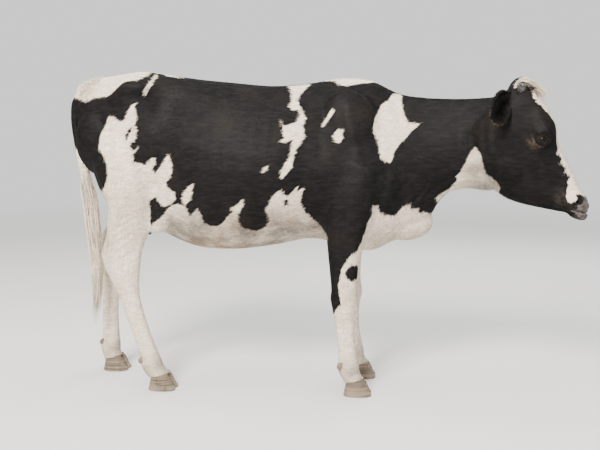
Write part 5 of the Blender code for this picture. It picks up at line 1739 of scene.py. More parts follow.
def unwrapped(skin_piece, voxel):
    """A coarse copy of a surface with its own unwrap, to look up where a root lies on the map."""
    copy = placed("map", skin_piece.data.copy())
    remesh = copy.modifiers.new("coarse", "REMESH")
    remesh.mode = "VOXEL"
    remesh.voxel_size = voxel
    evaluated(copy)
    bpy.ops.object.select_all(action="DESELECT")
    copy.select_set(True)
    bpy.context.view_layer.objects.active = copy
    bpy.ops.object.mode_set(mode="EDIT")
    bpy.ops.mesh.select_all(action="SELECT")
    bpy.ops.uv.smart_project(angle_limit=1.15, island_margin=0.004, scale_to_bounds=True)
    bpy.ops.object.mode_set(mode="OBJECT")
    mesh = copy.data
    places = np.zeros(len(mesh.loops) * 2, np.float32)
    mesh.uv_layers.active.data.foreach_get("uv", places)
    places = places.reshape(-1, 2)
    tree = BVHTree.FromObject(copy, bpy.context.evaluated_depsgraph_get())
    starts = [polygon.loop_start for polygon in mesh.polygons]
    totals = [polygon.loop_total for polygon in mesh.polygons]
    points = own_points(copy)
    corner_vertices = np.zeros(len(mesh.loops), np.int32)
    mesh.loops.foreach_get("vertex_index", corner_vertices)
    found = {
        "tree": tree, "places": places, "starts": starts, "totals": totals,
        "points": points, "corners": corner_vertices,
    }
    remove(copy)
    return found


def map_places(found, points):
    """Where points lie on a map."""
    result = np.empty((len(points), 2))
    for i, point in enumerate(points.tolist()):
        place, _, face, _ = found["tree"].find_nearest(point)
        start = found["starts"][face]
        loops = slice(start, start + found["totals"][face])
        corners = found["points"][found["corners"][loops]]
        weights = 1.0 / (np.linalg.norm(corners - np.array(place), axis=1) + 1e-5) ** 2
        result[i] = weights @ found["places"][loops] / weights.sum()
    return result


def tufts(name, surface, picks, shares, sizes, ways, mark, found, draw):
    """Closed tufts that lie along the surface, in pieces under the limit. Returns the pieces."""
    roots = surface.blend(surface.points, picks, shares)
    normals = unit(surface.blend(surface.normals, picks, shares))
    length, width = sizes
    count = len(roots)
    length = length * draw.uniform(0.7, 1.3, count)
    width = width * draw.uniform(0.7, 1.3, count)
    ways = turned(ways, normals, draw.normal(0.0, 0.20, count))
    tip, tip_normals = surface.nearest(roots + ways * length[:, None])
    scale = (length / 0.02) ** 0.5
    high = ROOT_HEIGHT * draw.uniform(0.5, 1.5, count) * scale
    tip_high = TIP_HEIGHT * draw.uniform(0.15, 2.0, count) * scale
    tip_high += raised(roots) * draw.random(count) ** 2
    across = unit(np.cross(ways, normals))
    places = np.empty((count, 4, 3))
    shade = np.empty((count, 4, 3))
    for k, (side, above, along) in enumerate(TUFT[:3]):
        places[:, k] = roots + across * (side * width)[:, None] + ways * (along * length)[:, None]
        places[:, k] += normals * (above * high - (1 - above) * ROOT_DEPTH)[:, None]
        shade[:, k] = normals + across * side * 0.9
    places[:, 3] = tip + tip_normals * tip_high[:, None]
    shade[:, 3] = tip_normals + ways * 0.20
    shade = unit(shade.reshape(-1, 3)).reshape(count, 4, 3)
    sides = places[:, 1:] - places[:, :1]
    inside_out = np.einsum("ij,ij->i", np.cross(sides[:, 0], sides[:, 1]), sides[:, 2]) * TUFT_TURN < 0
    for rows in (places, shade):
        rows[inside_out] = rows[inside_out][:, [1, 0, 2, 3]]
    layers = mark(roots + ways * (length * 0.4)[:, None])
    centre = map_places(found, roots)
    pieces = []
    parts = max(1, math.ceil(count / PIECE_TUFTS))
    order = np.argsort(roots[:, 0], kind="stable")
    for i, chosen in enumerate(np.array_split(order, parts)):
        faces = (TUFT_FACES[None] + (np.arange(len(chosen)) * 4)[:, None, None]).reshape(-1, 3)
        piece = mesh_from(name + "_" + str(i + 1), places[chosen].reshape(-1, 3), faces)
        for layer, values in layers.items():
            float_layer(piece, layer, np.repeat(values[chosen], 4))
        float_layer(piece, "along", np.tile(TUFT[:, 2], len(chosen)))
        bake_layer(piece, centre[chosen][:, None, :] + (TUFT_MAP * PATCH)[None], faces)
        shaded_smooth(piece)
        piece.data.normals_split_custom_set_from_vertices(shade[chosen].reshape(-1, 3).tolist())
        pieces.append(piece)
    return pieces


# A strand's sides, and its thickness as a share of its width
STRAND_SIDES = 3
STRAND_FLAT = 0.45


def strands(name, courses, widths, layers, found, facing):
    """Tapered locks along courses of points, each closed, as one piece. Their flats face this way."""
    courses = np.asarray(courses, float)
    count, steps = courses.shape[:2]
    ahead = np.gradient(courses, axis=1)
    ahead /= np.maximum(np.linalg.norm(ahead, axis=2), 1e-9)[:, :, None]
    across = np.cross(ahead, facing[:, None, :])
    across /= np.maximum(np.linalg.norm(across, axis=2), 1e-6)[:, :, None]
    out = np.cross(across, ahead)
    parts = np.arange(steps) / (steps - 1)
    taper = (1 - parts ** 2.2) * (0.55 + 0.45 * np.minimum(1.0, parts * 4))
    sides = STRAND_SIDES
    points = []
    for i in range(steps - 1):
        for k in range(sides):
            a = math.tau * k / sides
            half = widths * taper[i] / 2
            points.append(
                courses[:, i]
                + across[:, i] * (half * math.cos(a))[:, None]
                + out[:, i] * (half * STRAND_FLAT * math.sin(a))[:, None]
            )
    points.append(courses[:, -1])
    points = np.stack(points, axis=1)
    each = points.shape[1]
    faces = []
    for i in range(steps - 2):
        for k in range(sides):
            n = (k + 1) % sides
            a, b, c, d = i * sides + k, i * sides + n, (i + 1) * sides + n, (i + 1) * sides + k
            faces += [(a, b, c), (a, c, d)]
    last = (steps - 2) * sides
    faces += [(last + k, last + (k + 1) % sides, each - 1) for k in range(sides)]
    faces += [(0, k + 1, k) for k in range(1, sides - 1)]
    faces = (np.array(faces)[None] + (np.arange(count) * each)[:, None, None]).reshape(-1, 3)
    piece = mesh_from(name, points.reshape(-1, 3), faces)
    along = np.concatenate([np.repeat(parts[:-1], sides), [1.0]])
    float_layer(piece, "along", np.tile(along, count))
    for layer, values in layers.items():
        float_layer(piece, layer, np.repeat(values, each))
    centre = map_places(found, courses[:, 0])
    ring = np.concatenate([np.tile(np.arange(sides) / sides - 0.33, steps - 1), [0.0]])
    patch = np.stack([ring, along - 0.5], axis=1) * PATCH
    bake_layer(piece, centre[:, None, :] + patch[None], faces)
    shaded_smooth(piece)
    return piece


def marked(points, draw):
    """The layers of strands or tufts rooted at these points."""
    count = len(points)
    return {
        "white": whiteness(points) + draw.normal(0.0, 0.0016, count),
        "stain": np.clip(stains_and_shade(points) * draw.uniform(0.7, 1.25, count), 0, 1),
        "rust": rust(points),
        "tone": draw.random(count),
    }


def plain_layers(count, draw, white, stain, tan):
    """The layers of hair that is all white or all black, stained or bleached by these shares."""
    return {
        "white": np.full(count, white),
        "stain": np.full(count, stain),
        "rust": np.full(count, tan),
        "tone": draw.random(count),
    }


def grown(steps, place):
    """Courses of points: place tells where all the strands are at a part of their length."""
    return np.stack([place(part) for part in np.linspace(0, 1, steps)], axis=1)


# The voxels of the coarse copies of skin and ears that are unwrapped
MAP_VOXEL = 0.014
EAR_MAP_VOXEL = 0.004
# How often the tufts cover the surface, and the layers of places without hair
COVER = 1.75
COAT_LAYERS = ("bare", "margin", "nostril")
# How far the hair of the ears hangs down from along the ear
EAR_HANG = (0.0, 0.0, -0.25)


def build_hair(skin, ears):
    """All hair, as pieces."""
    found = unwrapped(skin, MAP_VOXEL)
    pieces = [
        switch(found), forelock(found), horn_tufts(skin, found), rump_tufts(skin, found), lashes(found),
        ear_fringe("ear_fringe_left", 1, found), ear_fringe("ear_fringe_right", -1, found),
    ]
    draw = np.random.default_rng(SEED)
    pieces += coat("coat", Surface(skin, COAT_LAYERS), found, draw)
    for ear, word, side in zip(ears, ("left", "right"), (1, -1)):
        own = unwrapped(ear, EAR_MAP_VOXEL)
        pieces += coat("ear_coat_" + word, Surface(ear, COAT_LAYERS), own, draw, side)
    return pieces


def coat(name, surface, found, draw, ear=0):
    """Short tufts all over a surface, but for its bare skin. For an ear, ear is its side, 1 or -1."""
    centres = surface.points[surface.triangles].mean(axis=1)
    length, width = TUFT_EAR if ear else size_of(centres, to_head(centres))
    bare = np.max([surface.layers[layer][surface.triangles].mean(axis=1) for layer in COAT_LAYERS], axis=0)
    density = COVER / (length * width / 2) * (bare < 0.72)
    for _, foot, middle, _, _ in feet():
        near, line = at_foot(centres, foot, middle)
        density[near & (centres[:, 2] < line + 0.003)] = 0
    picks, shares = surface.scattered(density, draw)
    points = surface.blend(surface.points, picks, shares)
    normals = unit(surface.blend(surface.normals, picks, shares))
    if ear:
        frame = np.array(ear_frame(ear))
        ways = flat_on(np.tile(frame[:3, 0], (len(points), 1)) + EAR_HANG, normals)
        local = (points - frame[:3, 3]) @ frame[:3, :3]
        reach = np.clip(local[:, 0] / EAR_LENGTH, 0, 1)
        sizes = (np.full(len(points), 0.0115) + 0.004 * reach, np.full(len(points), TUFT_EAR[1]))
    else:
        ways = lie_of(points, normals, to_head(points))
        sizes = size_of(points, to_head(points))
    return tufts(name, surface, picks, shares, sizes, ways, lambda at: marked(at, draw), found, draw)


# The switch: its strands, where along TAIL_PATH they start (first, most, last), how far they run, the
# farthest place, and their widths
SWITCH_STRANDS = 860
SWITCH_START = (3.9, 6.4, 7.7)
SWITCH_RUN = (1.8, 2.9)
SWITCH_END = 10.15
SWITCH_WIDTHS = (0.0026, 0.0052)
# How far the hair stands out from the tail in the middle of its length, at most, how far it waves, and
# how far a place past the end of TAIL_PATH lies below it
SWITCH_PUFF = 0.016
SWITCH_WAVE = 0.0035
SWITCH_DROP = 0.12


def level_turn(angles):
    """Directions in the level plane."""
    return np.stack([np.cos(angles), np.sin(angles), np.zeros(len(angles))], axis=1)


def switch(found):
    """The long hair of the tail, from where it starts on the dock to its frayed end."""
    draw = np.random.default_rng(SEED + 3)
    knots = np.arange(len(TAIL_PATH))
    count = SWITCH_STRANDS
    start = draw.triangular(*SWITCH_START, count)
    end = np.minimum(start + draw.uniform(*SWITCH_RUN, count), SWITCH_END)
    out = level_turn(draw.uniform(0, math.tau, count))
    wave = draw.uniform(0, math.tau, count)
    bulk = draw.uniform(0.2, 1.0, count)

    def place(part):
        at = start + (end - start) * part
        on_path = np.minimum(at, knots[-1])
        middle = through(knots, TAIL_PATH, on_path)
        middle[:, 2] -= np.maximum(at - knots[-1], 0) * SWITCH_DROP
        flesh = through(knots, np.array(TAIL_RADII)[:, None], on_path)[:, 0]
        puff = flesh * (0.72 + 0.22 * min(1.0, part * 5))
        puff = puff + SWITCH_PUFF * bulk * math.sin(math.pi * 0.86 * part)
        return middle + out * puff[:, None] + level_turn(wave + part * 7) * (SWITCH_WAVE * part)

    courses = grown(11, place)
    layers = marked(courses[:, 0], draw)
    layers["white"] = np.full(count, 0.05)
    layers["stain"] = np.clip(0.25 + (0.75 - courses[:, 0, 2]) * 1.6, 0, 1) * draw.uniform(0.5, 1.1, count)
    return strands("switch", courses, draw.uniform(*SWITCH_WIDTHS, count), layers, found, out)


# The forelock, in the head's frame: its strands, where their roots are across and down the face, the
# height of the poll under them by the place down the face, their lengths and widths
FORELOCK_STRANDS = 620
FORELOCK_ACROSS = 0.046
FORELOCK_DOWN = (-0.118, -0.035)
FORELOCK_GROUND = ((-0.12, 0.200), (-0.085, 0.234), (-0.045, 0.228))
FORELOCK_LONG = (0.030, 0.066)
FORELOCK_WIDTHS = (0.0014, 0.0030)
# The white hair in its middle, which begins before this place
FORELOCK_WHITE = 0.036
FORELOCK_WHITE_FROM = -0.098


def forelock(found):
    """The tuft on the poll, falling forward."""
    draw = np.random.default_rng(SEED + 4)
    count = FORELOCK_STRANDS
    across = draw.uniform(-FORELOCK_ACROSS, FORELOCK_ACROSS, count)
    down = draw.uniform(*FORELOCK_DOWN, count)
    length = draw.uniform(*FORELOCK_LONG, count)
    height = np.interp(down, *np.array(FORELOCK_GROUND).T) - 12 * across ** 2
    root = np.stack([down, across, height - 0.004], axis=1)
    lift = draw.uniform(0.35, 1.0, count)
    wild = draw.normal(0, 0.010, (count, 3))

    def place(part):
        rise = 0.020 * lift * math.sin(math.pi * (0.10 + 0.72 * part))
        fall = np.stack([length * part, across * 0.35 * part, rise], axis=1)
        return from_head(root + fall + wild * part * part)

    arcs = horn_arcs(draw)
    courses = np.concatenate([grown(7, place), arcs])
    layers = marked(courses[:, 0], draw)
    white = np.where(np.abs(across) < FORELOCK_WHITE, 0.03, -0.03)
    white *= np.where(down < FORELOCK_WHITE_FROM, -1.0, 1.0)
    layers["white"] = np.concatenate([white, np.full(len(arcs), 0.03)])
    count = len(courses)
    facing = way_from_head(np.tile((0.1, 0.0, 1.0), (count, 1)))
    return strands("forelock", courses, draw.uniform(*FORELOCK_WIDTHS, count), layers, found, facing)


# How many white strands each horn has behind it, and how far along HORN_ARC one runs
HORN_ARC_STRANDS = 90
HORN_ARC_RUN = 1.5


def horn_arcs(draw):
    """White strands laid round the back of the horns: their courses."""
    knots = np.arange(len(HORN_ARC))
    courses = []
    for side in (1, -1):
        start = draw.uniform(0.0, 2.4, HORN_ARC_STRANDS)
        shift = draw.normal(0.0, 0.0022, (HORN_ARC_STRANDS, 3))
        lift = draw.uniform(0.001, 0.006, HORN_ARC_STRANDS)
        rise = np.stack([-0.6 * lift, 0.2 * lift, lift], axis=1)

        def place(part):
            at = through(knots, HORN_ARC, np.minimum(start + HORN_ARC_RUN * part, knots[-1]))
            return from_head(sided(at + shift + rise * math.sin(math.pi * (0.1 + 0.8 * part)), side))

        courses.append(grown(7, place))
    return np.concatenate(courses)


# The curls round each horn: their strands, how far round its root they grow, how they stand, from the
# root outwards and in a way of their own on the left, their lengths and widths
HORN_TUFT_STRANDS = 260
HORN_TUFT_REACH = 0.034
HORN_TUFT_OUTWARD = 0.3
HORN_TUFT_WAY = (0.55, 0.10, 0.42)
HORN_TUFT_LONG = (0.012, 0.027)
HORN_TUFT_WIDTHS = (0.0012, 0.0024)
# The middle of the curls, from HORN_AT
HORN_TUFT_SHIFT = (0.006, -0.004, 0.004)


def horn_tufts(skin, found):
    """Curly black hair standing round the root of each horn."""
    draw = np.random.default_rng(SEED + 8)
    heads = to_head(own_points(skin))
    courses = []
    for side in (1, -1):
        horn = sided(np.add(HORN_AT, HORN_TUFT_SHIFT), side)
        away = np.linalg.norm(heads - horn, axis=1)
        near = np.flatnonzero((away < HORN_TUFT_REACH) & (away > 0.6 * HORN_RADIUS))
        root = heads[draw.choice(near, HORN_TUFT_STRANDS)]
        outward = unit(root - horn) * HORN_TUFT_OUTWARD + sided(HORN_TUFT_WAY, side)
        turn = draw.uniform(0, math.tau, HORN_TUFT_STRANDS)
        length = draw.uniform(*HORN_TUFT_LONG, HORN_TUFT_STRANDS)

        def place(part):
            curl = np.stack([np.cos(turn + 4.5 * part), np.sin(turn + 4.5 * part), np.sin(turn)], axis=1)
            way = outward * part + curl * 0.30 * part
            way[:, 2] -= 0.35 * part * part
            return from_head(root + way * length[:, None])

        courses.append(grown(7, place))
    courses = np.concatenate(courses)
    count = len(courses)
    facing = way_from_head(np.tile((0.2, 0.0, 1.0), (count, 1)))
    layers = plain_layers(count, draw, -0.05, 0.0, draw.uniform(0.0, 0.6, count))
    return strands("horn_tufts", courses, draw.uniform(*HORN_TUFT_WIDTHS, count), layers, found, facing)


# Ragged white hair on top of the rump: how many tufts, from where to where along the body, how high
# above the floor at least, how far to each side, and how long and wide they are
RUMP_TUFTS = 300
RUMP_TUFTS_ALONG = (-0.950, -0.855)
RUMP_TUFTS_ABOVE = 1.235
RUMP_TUFTS_ACROSS = 0.085
RUMP_TUFTS_LONG = (0.016, 0.034)
RUMP_TUFTS_WIDTHS = (0.0020, 0.0042)
# How they lean forward, to the left and up: the middle and the spread of each
RUMP_TUFTS_LEAN = ((-0.22, 0.30), (0.0, 0.25), (0.10, 0.12))


def rump_tufts(skin, found):
    """Ragged hair standing up on top of the rump, just before the tail."""
    draw = np.random.default_rng(SEED + 9)
    surface = Surface(skin, ())
    count = RUMP_TUFTS
    x, y, z = surface.points.T
    back, front = RUMP_TUFTS_ALONG
    on_top = (x > back) & (x < front) & (z > RUMP_TUFTS_ABOVE) & (np.abs(y) < RUMP_TUFTS_ACROSS)
    on_top &= (surface.normals[:, 2] > 0.25) & (whiteness(surface.points) > 0.004)
    picks = draw.choice(np.flatnonzero(on_top), count)
    normals = surface.normals[picks]
    root = surface.points[picks] - normals * 0.001
    up = normals * 0.85
    lean = np.stack([draw.normal(middle, spread, count) for middle, spread in RUMP_TUFTS_LEAN], axis=1)
    length = draw.uniform(*RUMP_TUFTS_LONG, count)

    def place(part):
        way = up * part * (1 - 0.35 * part) + lean * part * (0.45 + 0.55 * part)
        return root + way * length[:, None]

    layers = plain_layers(count, draw, 0.05, 0.15, 0.0)
    widths = draw.uniform(*RUMP_TUFTS_WIDTHS, count)
    return strands("rump_tufts", grown(6, place), widths, layers, found, normals)


# Lashes of the upper and the lower lid: 1 or -1 for up or down, how many, the longest
LASHES = ((1, 52, 0.018), (-1, 18, 0.009))
# The share of pale lashes
LASH_PALE = 0.28
LASH_WIDTH = 0.0008


def lashes(found):
    """Lashes on the edges of the lids."""
    draw = np.random.default_rng(SEED + 5)
    courses = []
    faces = []
    for side in (1, -1):
        centre = sided(EYE_AT, side)
        out, along, up = eye_axes(side)
        for way, count, longest in LASHES:
            place = np.linspace(-0.88, 0.88, count) * EYE_OPENING[0] + draw.normal(0, 0.0004, count)
            heights = slit_height(place)[0 if way == 1 else 1] + 0.0012
            radius = EYE_RADIUS + LID_THICKNESS - 0.0006
            rise = np.sqrt(np.maximum(radius ** 2 - place ** 2 - heights ** 2, 0.0))
            root = centre + along * place[:, None] + up * (way * heights)[:, None] + out * rise[:, None]
            length = longest * draw.uniform(0.7, 1.1, count) * (1 - 0.35 * (place / EYE_OPENING[0]) ** 2)
            fan = along * (place / EYE_OPENING[0] * 0.55 + draw.normal(0, 0.10, count))[:, None]

            def place(part):
                droop = (-0.88 * part + 0.36 * part * part) * way
                return root + (out * 0.80 * part + fan * part + up * droop) * length[:, None]

            courses.append(grown(6, place))
            faces.append(np.tile(along, (count, 1)))
    courses = from_head(np.concatenate(courses))
    facing = way_from_head(np.concatenate(faces))
    count = len(courses)
    tan = np.where(draw.random(count) < LASH_PALE, 1.6, 0.0)
    layers = plain_layers(count, draw, -0.05, 0.0, tan)
    return strands("lashes", courses, np.full(count, LASH_WIDTH), layers, found, facing)


# The fringe of an ear: the strands on its rim and in its cup, their lengths and widths
EAR_RIM_STRANDS = 620
EAR_RIM_LONG = (0.008, 0.019)
EAR_RIM_WIDTH = 0.0016
EAR_INNER_STRANDS = 400
EAR_INNER_LONG = (0.020, 0.042)
EAR_INNER_WIDTH = 0.0011


def ear_fringe(name, side, found):
    """The hair along an ear's rim, paler towards its lower edge, and the long hair in its cup."""
    draw = np.random.default_rng(SEED + 6 + side)
    frame = np.array(ear_frame(side))
    table = np.array(EAR_STEPS)
    count = EAR_RIM_STRANDS + EAR_INNER_STRANDS
    inner = np.arange(count) >= EAR_RIM_STRANDS

    def drawn(in_cup, on_rim):
        return np.where(inner, draw.uniform(*in_cup, count), draw.uniform(*on_rim, count))

    level = np.where(inner, draw.uniform(0.02, 0.66, count), draw.uniform(0.08, 1.0, count) ** 0.8)
    half, depth = (through(table[:, 0], table[:, 1:], level) * EAR_HALF_WIDTH).T
    edge = np.where(draw.random(count) < 0.5, -1.0, 1.0)
    share = drawn((0.35, 0.92), (0.90, 1.0))
    bowl = -depth * np.sqrt(np.maximum(1 - share ** 2, 0.0)) * 0.95
    lift = depth * EAR_LIFT + EAR_CURL * half * np.sin(math.pi * level) * share ** 2
    root = np.stack([level * EAR_LENGTH, half * share * edge, bowl + lift], axis=1)
    length = drawn(EAR_INNER_LONG, EAR_RIM_LONG)
    tipward = drawn((0.55, 0.95), (0.65, 1.1))
    sideways = edge * np.where(inner, -0.30, draw.uniform(0.15, 0.75, count))

    def place(part):
        up = np.where(inner, 0.75 * part - 0.25 * part * part, 0.20 * part - 0.30 * part * part)
        way = np.stack([tipward * part, sideways * part, up], axis=1)
        return root + way * length[:, None]

    courses = grown(6, place) @ frame[:3, :3].T + frame[:3, 3]
    facing = np.tile(frame[:3, 2], (count, 1))
    low = step(-(courses[:, 0, 2] - frame[2, 3]), 0.035, 0.085)
    tan = np.where(inner, 0.25 + 0.6 * (level < 0.25), 0.15 + 1.15 * low) * draw.uniform(0.3, 1.0, count)
    layers = plain_layers(count, draw, -0.05, 0.0, tan)
    widths = np.where(inner, EAR_INNER_WIDTH, EAR_RIM_WIDTH)
    return strands(name, courses, widths, layers, found, facing)


# Materials


class Nodes:
    """A material's node tree with short calls to build it. A layer is a value told for each point."""

    def __init__(self, name):
        self.material = bpy.data.materials.new(name)
        self.material.use_nodes = True
        self.tree = self.material.node_tree
        self.shader = self.tree.nodes["Principled BSDF"]

    def set(self, **values):
        for name, value in values.items():
            self.shader.inputs[name.replace("_", " ")].default_value = value

    def link(self, source, target):
        self.tree.links.new(source, target)

    def paint(self, colour):
        self.link(colour, self.shader.inputs["Base Color"])

    def roughen(self, share):
        self.link(share, self.shader.inputs["Roughness"])

    def value(self, layer):
        node = self.tree.nodes.new("ShaderNodeAttribute")
        node.attribute_name = layer
        return node.outputs["Fac"]

    def math(self, operation, a, b=None, clamp=False):
        node = self.tree.nodes.new("ShaderNodeMath")
        node.operation = operation
        node.use_clamp = clamp
        for socket, value in zip(node.inputs, (a, b)):
            if value is None:
                continue
            if isinstance(value, (int, float)):
                socket.default_value = value
            else:
                self.link(value, socket)
        return node.outputs[0]

    def ramp(self, source, low, high, from_value=0.0, to_value=1.0):
        node = self.tree.nodes.new("ShaderNodeMapRange")
        node.interpolation_type = "SMOOTHSTEP"
        self.link(source, node.inputs["Value"])
        node.inputs["From Min"].default_value = low
        node.inputs["From Max"].default_value = high
        node.inputs["To Min"].default_value = from_value
        node.inputs["To Max"].default_value = to_value
        return node.outputs["Result"]

    def mix(self, share, a, b, blend="MIX"):
        node = self.tree.nodes.new("ShaderNodeMix")
        node.data_type = "RGBA"
        node.blend_type = blend
        for socket, value in ((node.inputs[0], share), (node.inputs[6], a), (node.inputs[7], b)):
            if isinstance(value, (int, float)):
                socket.default_value = value
            elif isinstance(value, tuple):
                socket.default_value = (*value, 1.0)
            else:
                self.link(value, socket)
        return node.outputs[2]

    def noise(self, scale, stretch=(1.0, 1.0, 1.0), detail=4.0, roughness=0.55):
        coordinates = self.tree.nodes.new("ShaderNodeTexCoord")
        mapping = self.tree.nodes.new("ShaderNodeMapping")
        mapping.inputs["Scale"].default_value = stretch
        self.link(coordinates.outputs["Object"], mapping.inputs["Vector"])
        node = self.tree.nodes.new("ShaderNodeTexNoise")
        node.inputs["Scale"].default_value = scale
        node.inputs["Detail"].default_value = detail
        node.inputs["Roughness"].default_value = roughness
        self.link(mapping.outputs["Vector"], node.inputs["Vector"])
        return node.outputs["Fac"]

    def cells(self, scale):
        coordinates = self.tree.nodes.new("ShaderNodeTexCoord")
        node = self.tree.nodes.new("ShaderNodeTexVoronoi")
        node.feature = "DISTANCE_TO_EDGE"
        node.inputs["Scale"].default_value = scale
        self.link(coordinates.outputs["Object"], node.inputs["Vector"])
        return node.outputs["Distance"]

    def bump(self, height, strength, distance):
        node = self.tree.nodes.new("ShaderNodeBump")
        node.inputs["Strength"].default_value = strength
        node.inputs["Distance"].default_value = distance
        self.link(height, node.inputs["Height"])
        self.link(node.outputs["Normal"], self.shader.inputs["Normal"])


# Colours
BLACK_DARK = (0.0050, 0.0046, 0.0048)
BLACK_LIGHT = (0.0110, 0.0098, 0.0100)
BLACK_BROWN = (0.0215, 0.0155, 0.0120)
WHITE_LIGHT = (0.92, 0.815, 0.680)
WHITE_SHADE = (0.75, 0.615, 0.475)
RUST = (0.145, 0.110, 0.075)
# Tan and grey of stains, which on the belly and the throat also paint shade
TAN_STAIN_AND_SHADE = (0.30, 0.21, 0.135)
GREY_STAIN_AND_SHADE = (0.215, 0.19, 0.16)
NOSE_PINK = (0.118, 0.094, 0.088)
NOSE_GREY = (0.046, 0.040, 0.039)
NOSE_PALE_AND_HIGHLIGHT = (0.46, 0.40, 0.37)
NOSTRIL_SHADE = (0.011, 0.009, 0.009)
LID_BLACK_AND_CHIN_SHADE = (0.0055, 0.0045, 0.0045)
IRIS_DARK = (0.0050, 0.0032, 0.0024)
IRIS_LIGHT = (0.013, 0.0075, 0.0050)
IRIS_EDGE = (0.006, 0.0035, 0.0025)
EYE_WHITE_DARK = (0.010, 0.008, 0.007)
EYE_WHITE = (0.024, 0.019, 0.016)
PUPIL = (0.0012, 0.0012, 0.0022)
HOOF_DARK = (0.075, 0.055, 0.038)
HOOF_LIGHT = (0.24, 0.18, 0.115)
HOOF_FIBRE = (0.035, 0.028, 0.023)
EARTH = (0.23, 0.185, 0.135)
HORN_DARK = (0.016, 0.014, 0.015)
HORN_LIGHT = (0.125, 0.115, 0.112)
FLOOR_DARK = (0.70, 0.69, 0.675)
FLOOR_LIGHT = (0.725, 0.715, 0.70)
# Roughness of bare skin
BARE_ROUGH = (0.38, 0.38, 0.38)


def coat_material(name, hair):
    """Hide or hair. The layers white, stain, bare, margin, tone and along tell what each place is. Stain and
    margin also carry painted shade, along darkens the hair towards its roots as painted shade, and on the
    hide the nostrils are painted dark as shade and the pale rim under them is partly a painted highlight.
    """
    n = Nodes(name)
    white = n.value("white")
    wander = n.math("MULTIPLY", n.math("SUBTRACT", n.noise(85.0), 0.5), 0.004)
    share = n.ramp(n.math("ADD", white, wander), -0.0012, 0.0012)
    tone = n.value("tone")
    broad = n.noise(5.0, detail=3.0)
    streaks = n.noise(60.0, stretch=(0.35, 1.0, 1.6))
    dark = n.mix(n.ramp(streaks, 0.35, 0.70), BLACK_DARK, BLACK_LIGHT)
    dark = n.mix(n.math("MULTIPLY", n.ramp(broad, 0.50, 0.75), 0.45), dark, BLACK_BROWN)
    bleach = n.math("MULTIPLY", n.value("rust"), n.ramp(n.noise(60.0), 0.35, 0.65, 0.15, 0.75))
    dark = n.mix(bleach, dark, RUST)
    light = n.mix(n.ramp(streaks, 0.30, 0.70), WHITE_SHADE, WHITE_LIGHT)
    # Stains over the white hair, which on the belly and the throat are partly painted shade
    dirt_and_shade = n.math("MULTIPLY", n.value("stain"), n.ramp(n.noise(11.0, detail=5.0), 0.32, 0.66, 0.45, 1.25))
    soil_and_shade = n.mix(n.ramp(n.noise(3.1), 0.35, 0.65), TAN_STAIN_AND_SHADE, GREY_STAIN_AND_SHADE)
    light = n.mix(n.math("MULTIPLY", dirt_and_shade, 0.85, clamp=True), light, soil_and_shade)
    colour = n.mix(share, dark, light)
    varied = n.ramp(tone, 0.0, 1.0, 0.72, 1.16)
    # Darker towards the root of each tuft and strand and towards the base of each ear: painted shade deep in
    # the coat, together with a random tone for each tuft
    deep = n.ramp(n.value("along"), 0.0, 0.55, 0.62, 1.0)
    level = n.math("MULTIPLY", varied, deep)
    shade = n.tree.nodes.new("ShaderNodeCombineColor")
    for socket in shade.inputs:
        n.link(level, socket)
    colour = n.mix(1.0, colour, shade.outputs[0], blend="MULTIPLY")
    if not hair:
        mottle = n.ramp(n.noise(70.0, detail=3.0), 0.38, 0.66)
        skin = n.mix(mottle, NOSE_GREY, NOSE_PINK)
        colour = n.mix(n.value("bare"), colour, skin)
        # The pale rim under the nostrils: partly pale skin, partly a painted highlight
        colour = n.mix(n.value("pale"), colour, NOSE_PALE_AND_HIGHLIGHT)
        # Dark lid margins, and the underside of the lower lip and chin in the same near black as painted
        # shade
        colour = n.mix(n.value("margin"), colour, LID_BLACK_AND_CHIN_SHADE)
        # Nostrils painted near black: painted shade inside them
        colour = n.mix(n.value("nostril"), colour, NOSTRIL_SHADE)
    n.paint(colour)
    rough = n.ramp(share, 0.0, 1.0, 0.56, 0.66)
    if not hair:
        rough = n.mix(n.value("bare"), rough, BARE_ROUGH)
    n.roughen(rough)
    n.set(Specular_IOR_Level=0.09, Sheen_Weight=0.012, Sheen_Roughness=0.5)
    fine = n.noise(420.0, stretch=(0.25, 1.0, 0.7), detail=2.0)
    if hair:
        n.bump(fine, 0.35, 0.0006)
    else:
        pebbles = n.ramp(n.cells(300.0), 0.0, 0.14)
        height = n.mix(n.value("bare"), fine, pebbles)
        n.bump(height, 0.55, 0.0010)
    return n.material


def eye_material():
    n = Nodes("eye")
    iris = n.mix(n.ramp(n.noise(380.0), 0.35, 0.65), IRIS_DARK, IRIS_LIGHT)
    iris = n.mix(n.ramp(n.value("out"), 0.75, 1.0), iris, IRIS_EDGE)
    white = n.mix(n.ramp(n.noise(160.0), 0.40, 0.65), EYE_WHITE_DARK, EYE_WHITE)
    colour = n.mix(n.value("iris"), white, iris)
    n.paint(n.mix(n.value("pupil"), colour, PUPIL))
    n.set(Roughness=0.30, Specular_IOR_Level=0.05, Coat_Weight=0.5, Coat_Roughness=0.015, Coat_IOR=1.22)
    return n.material


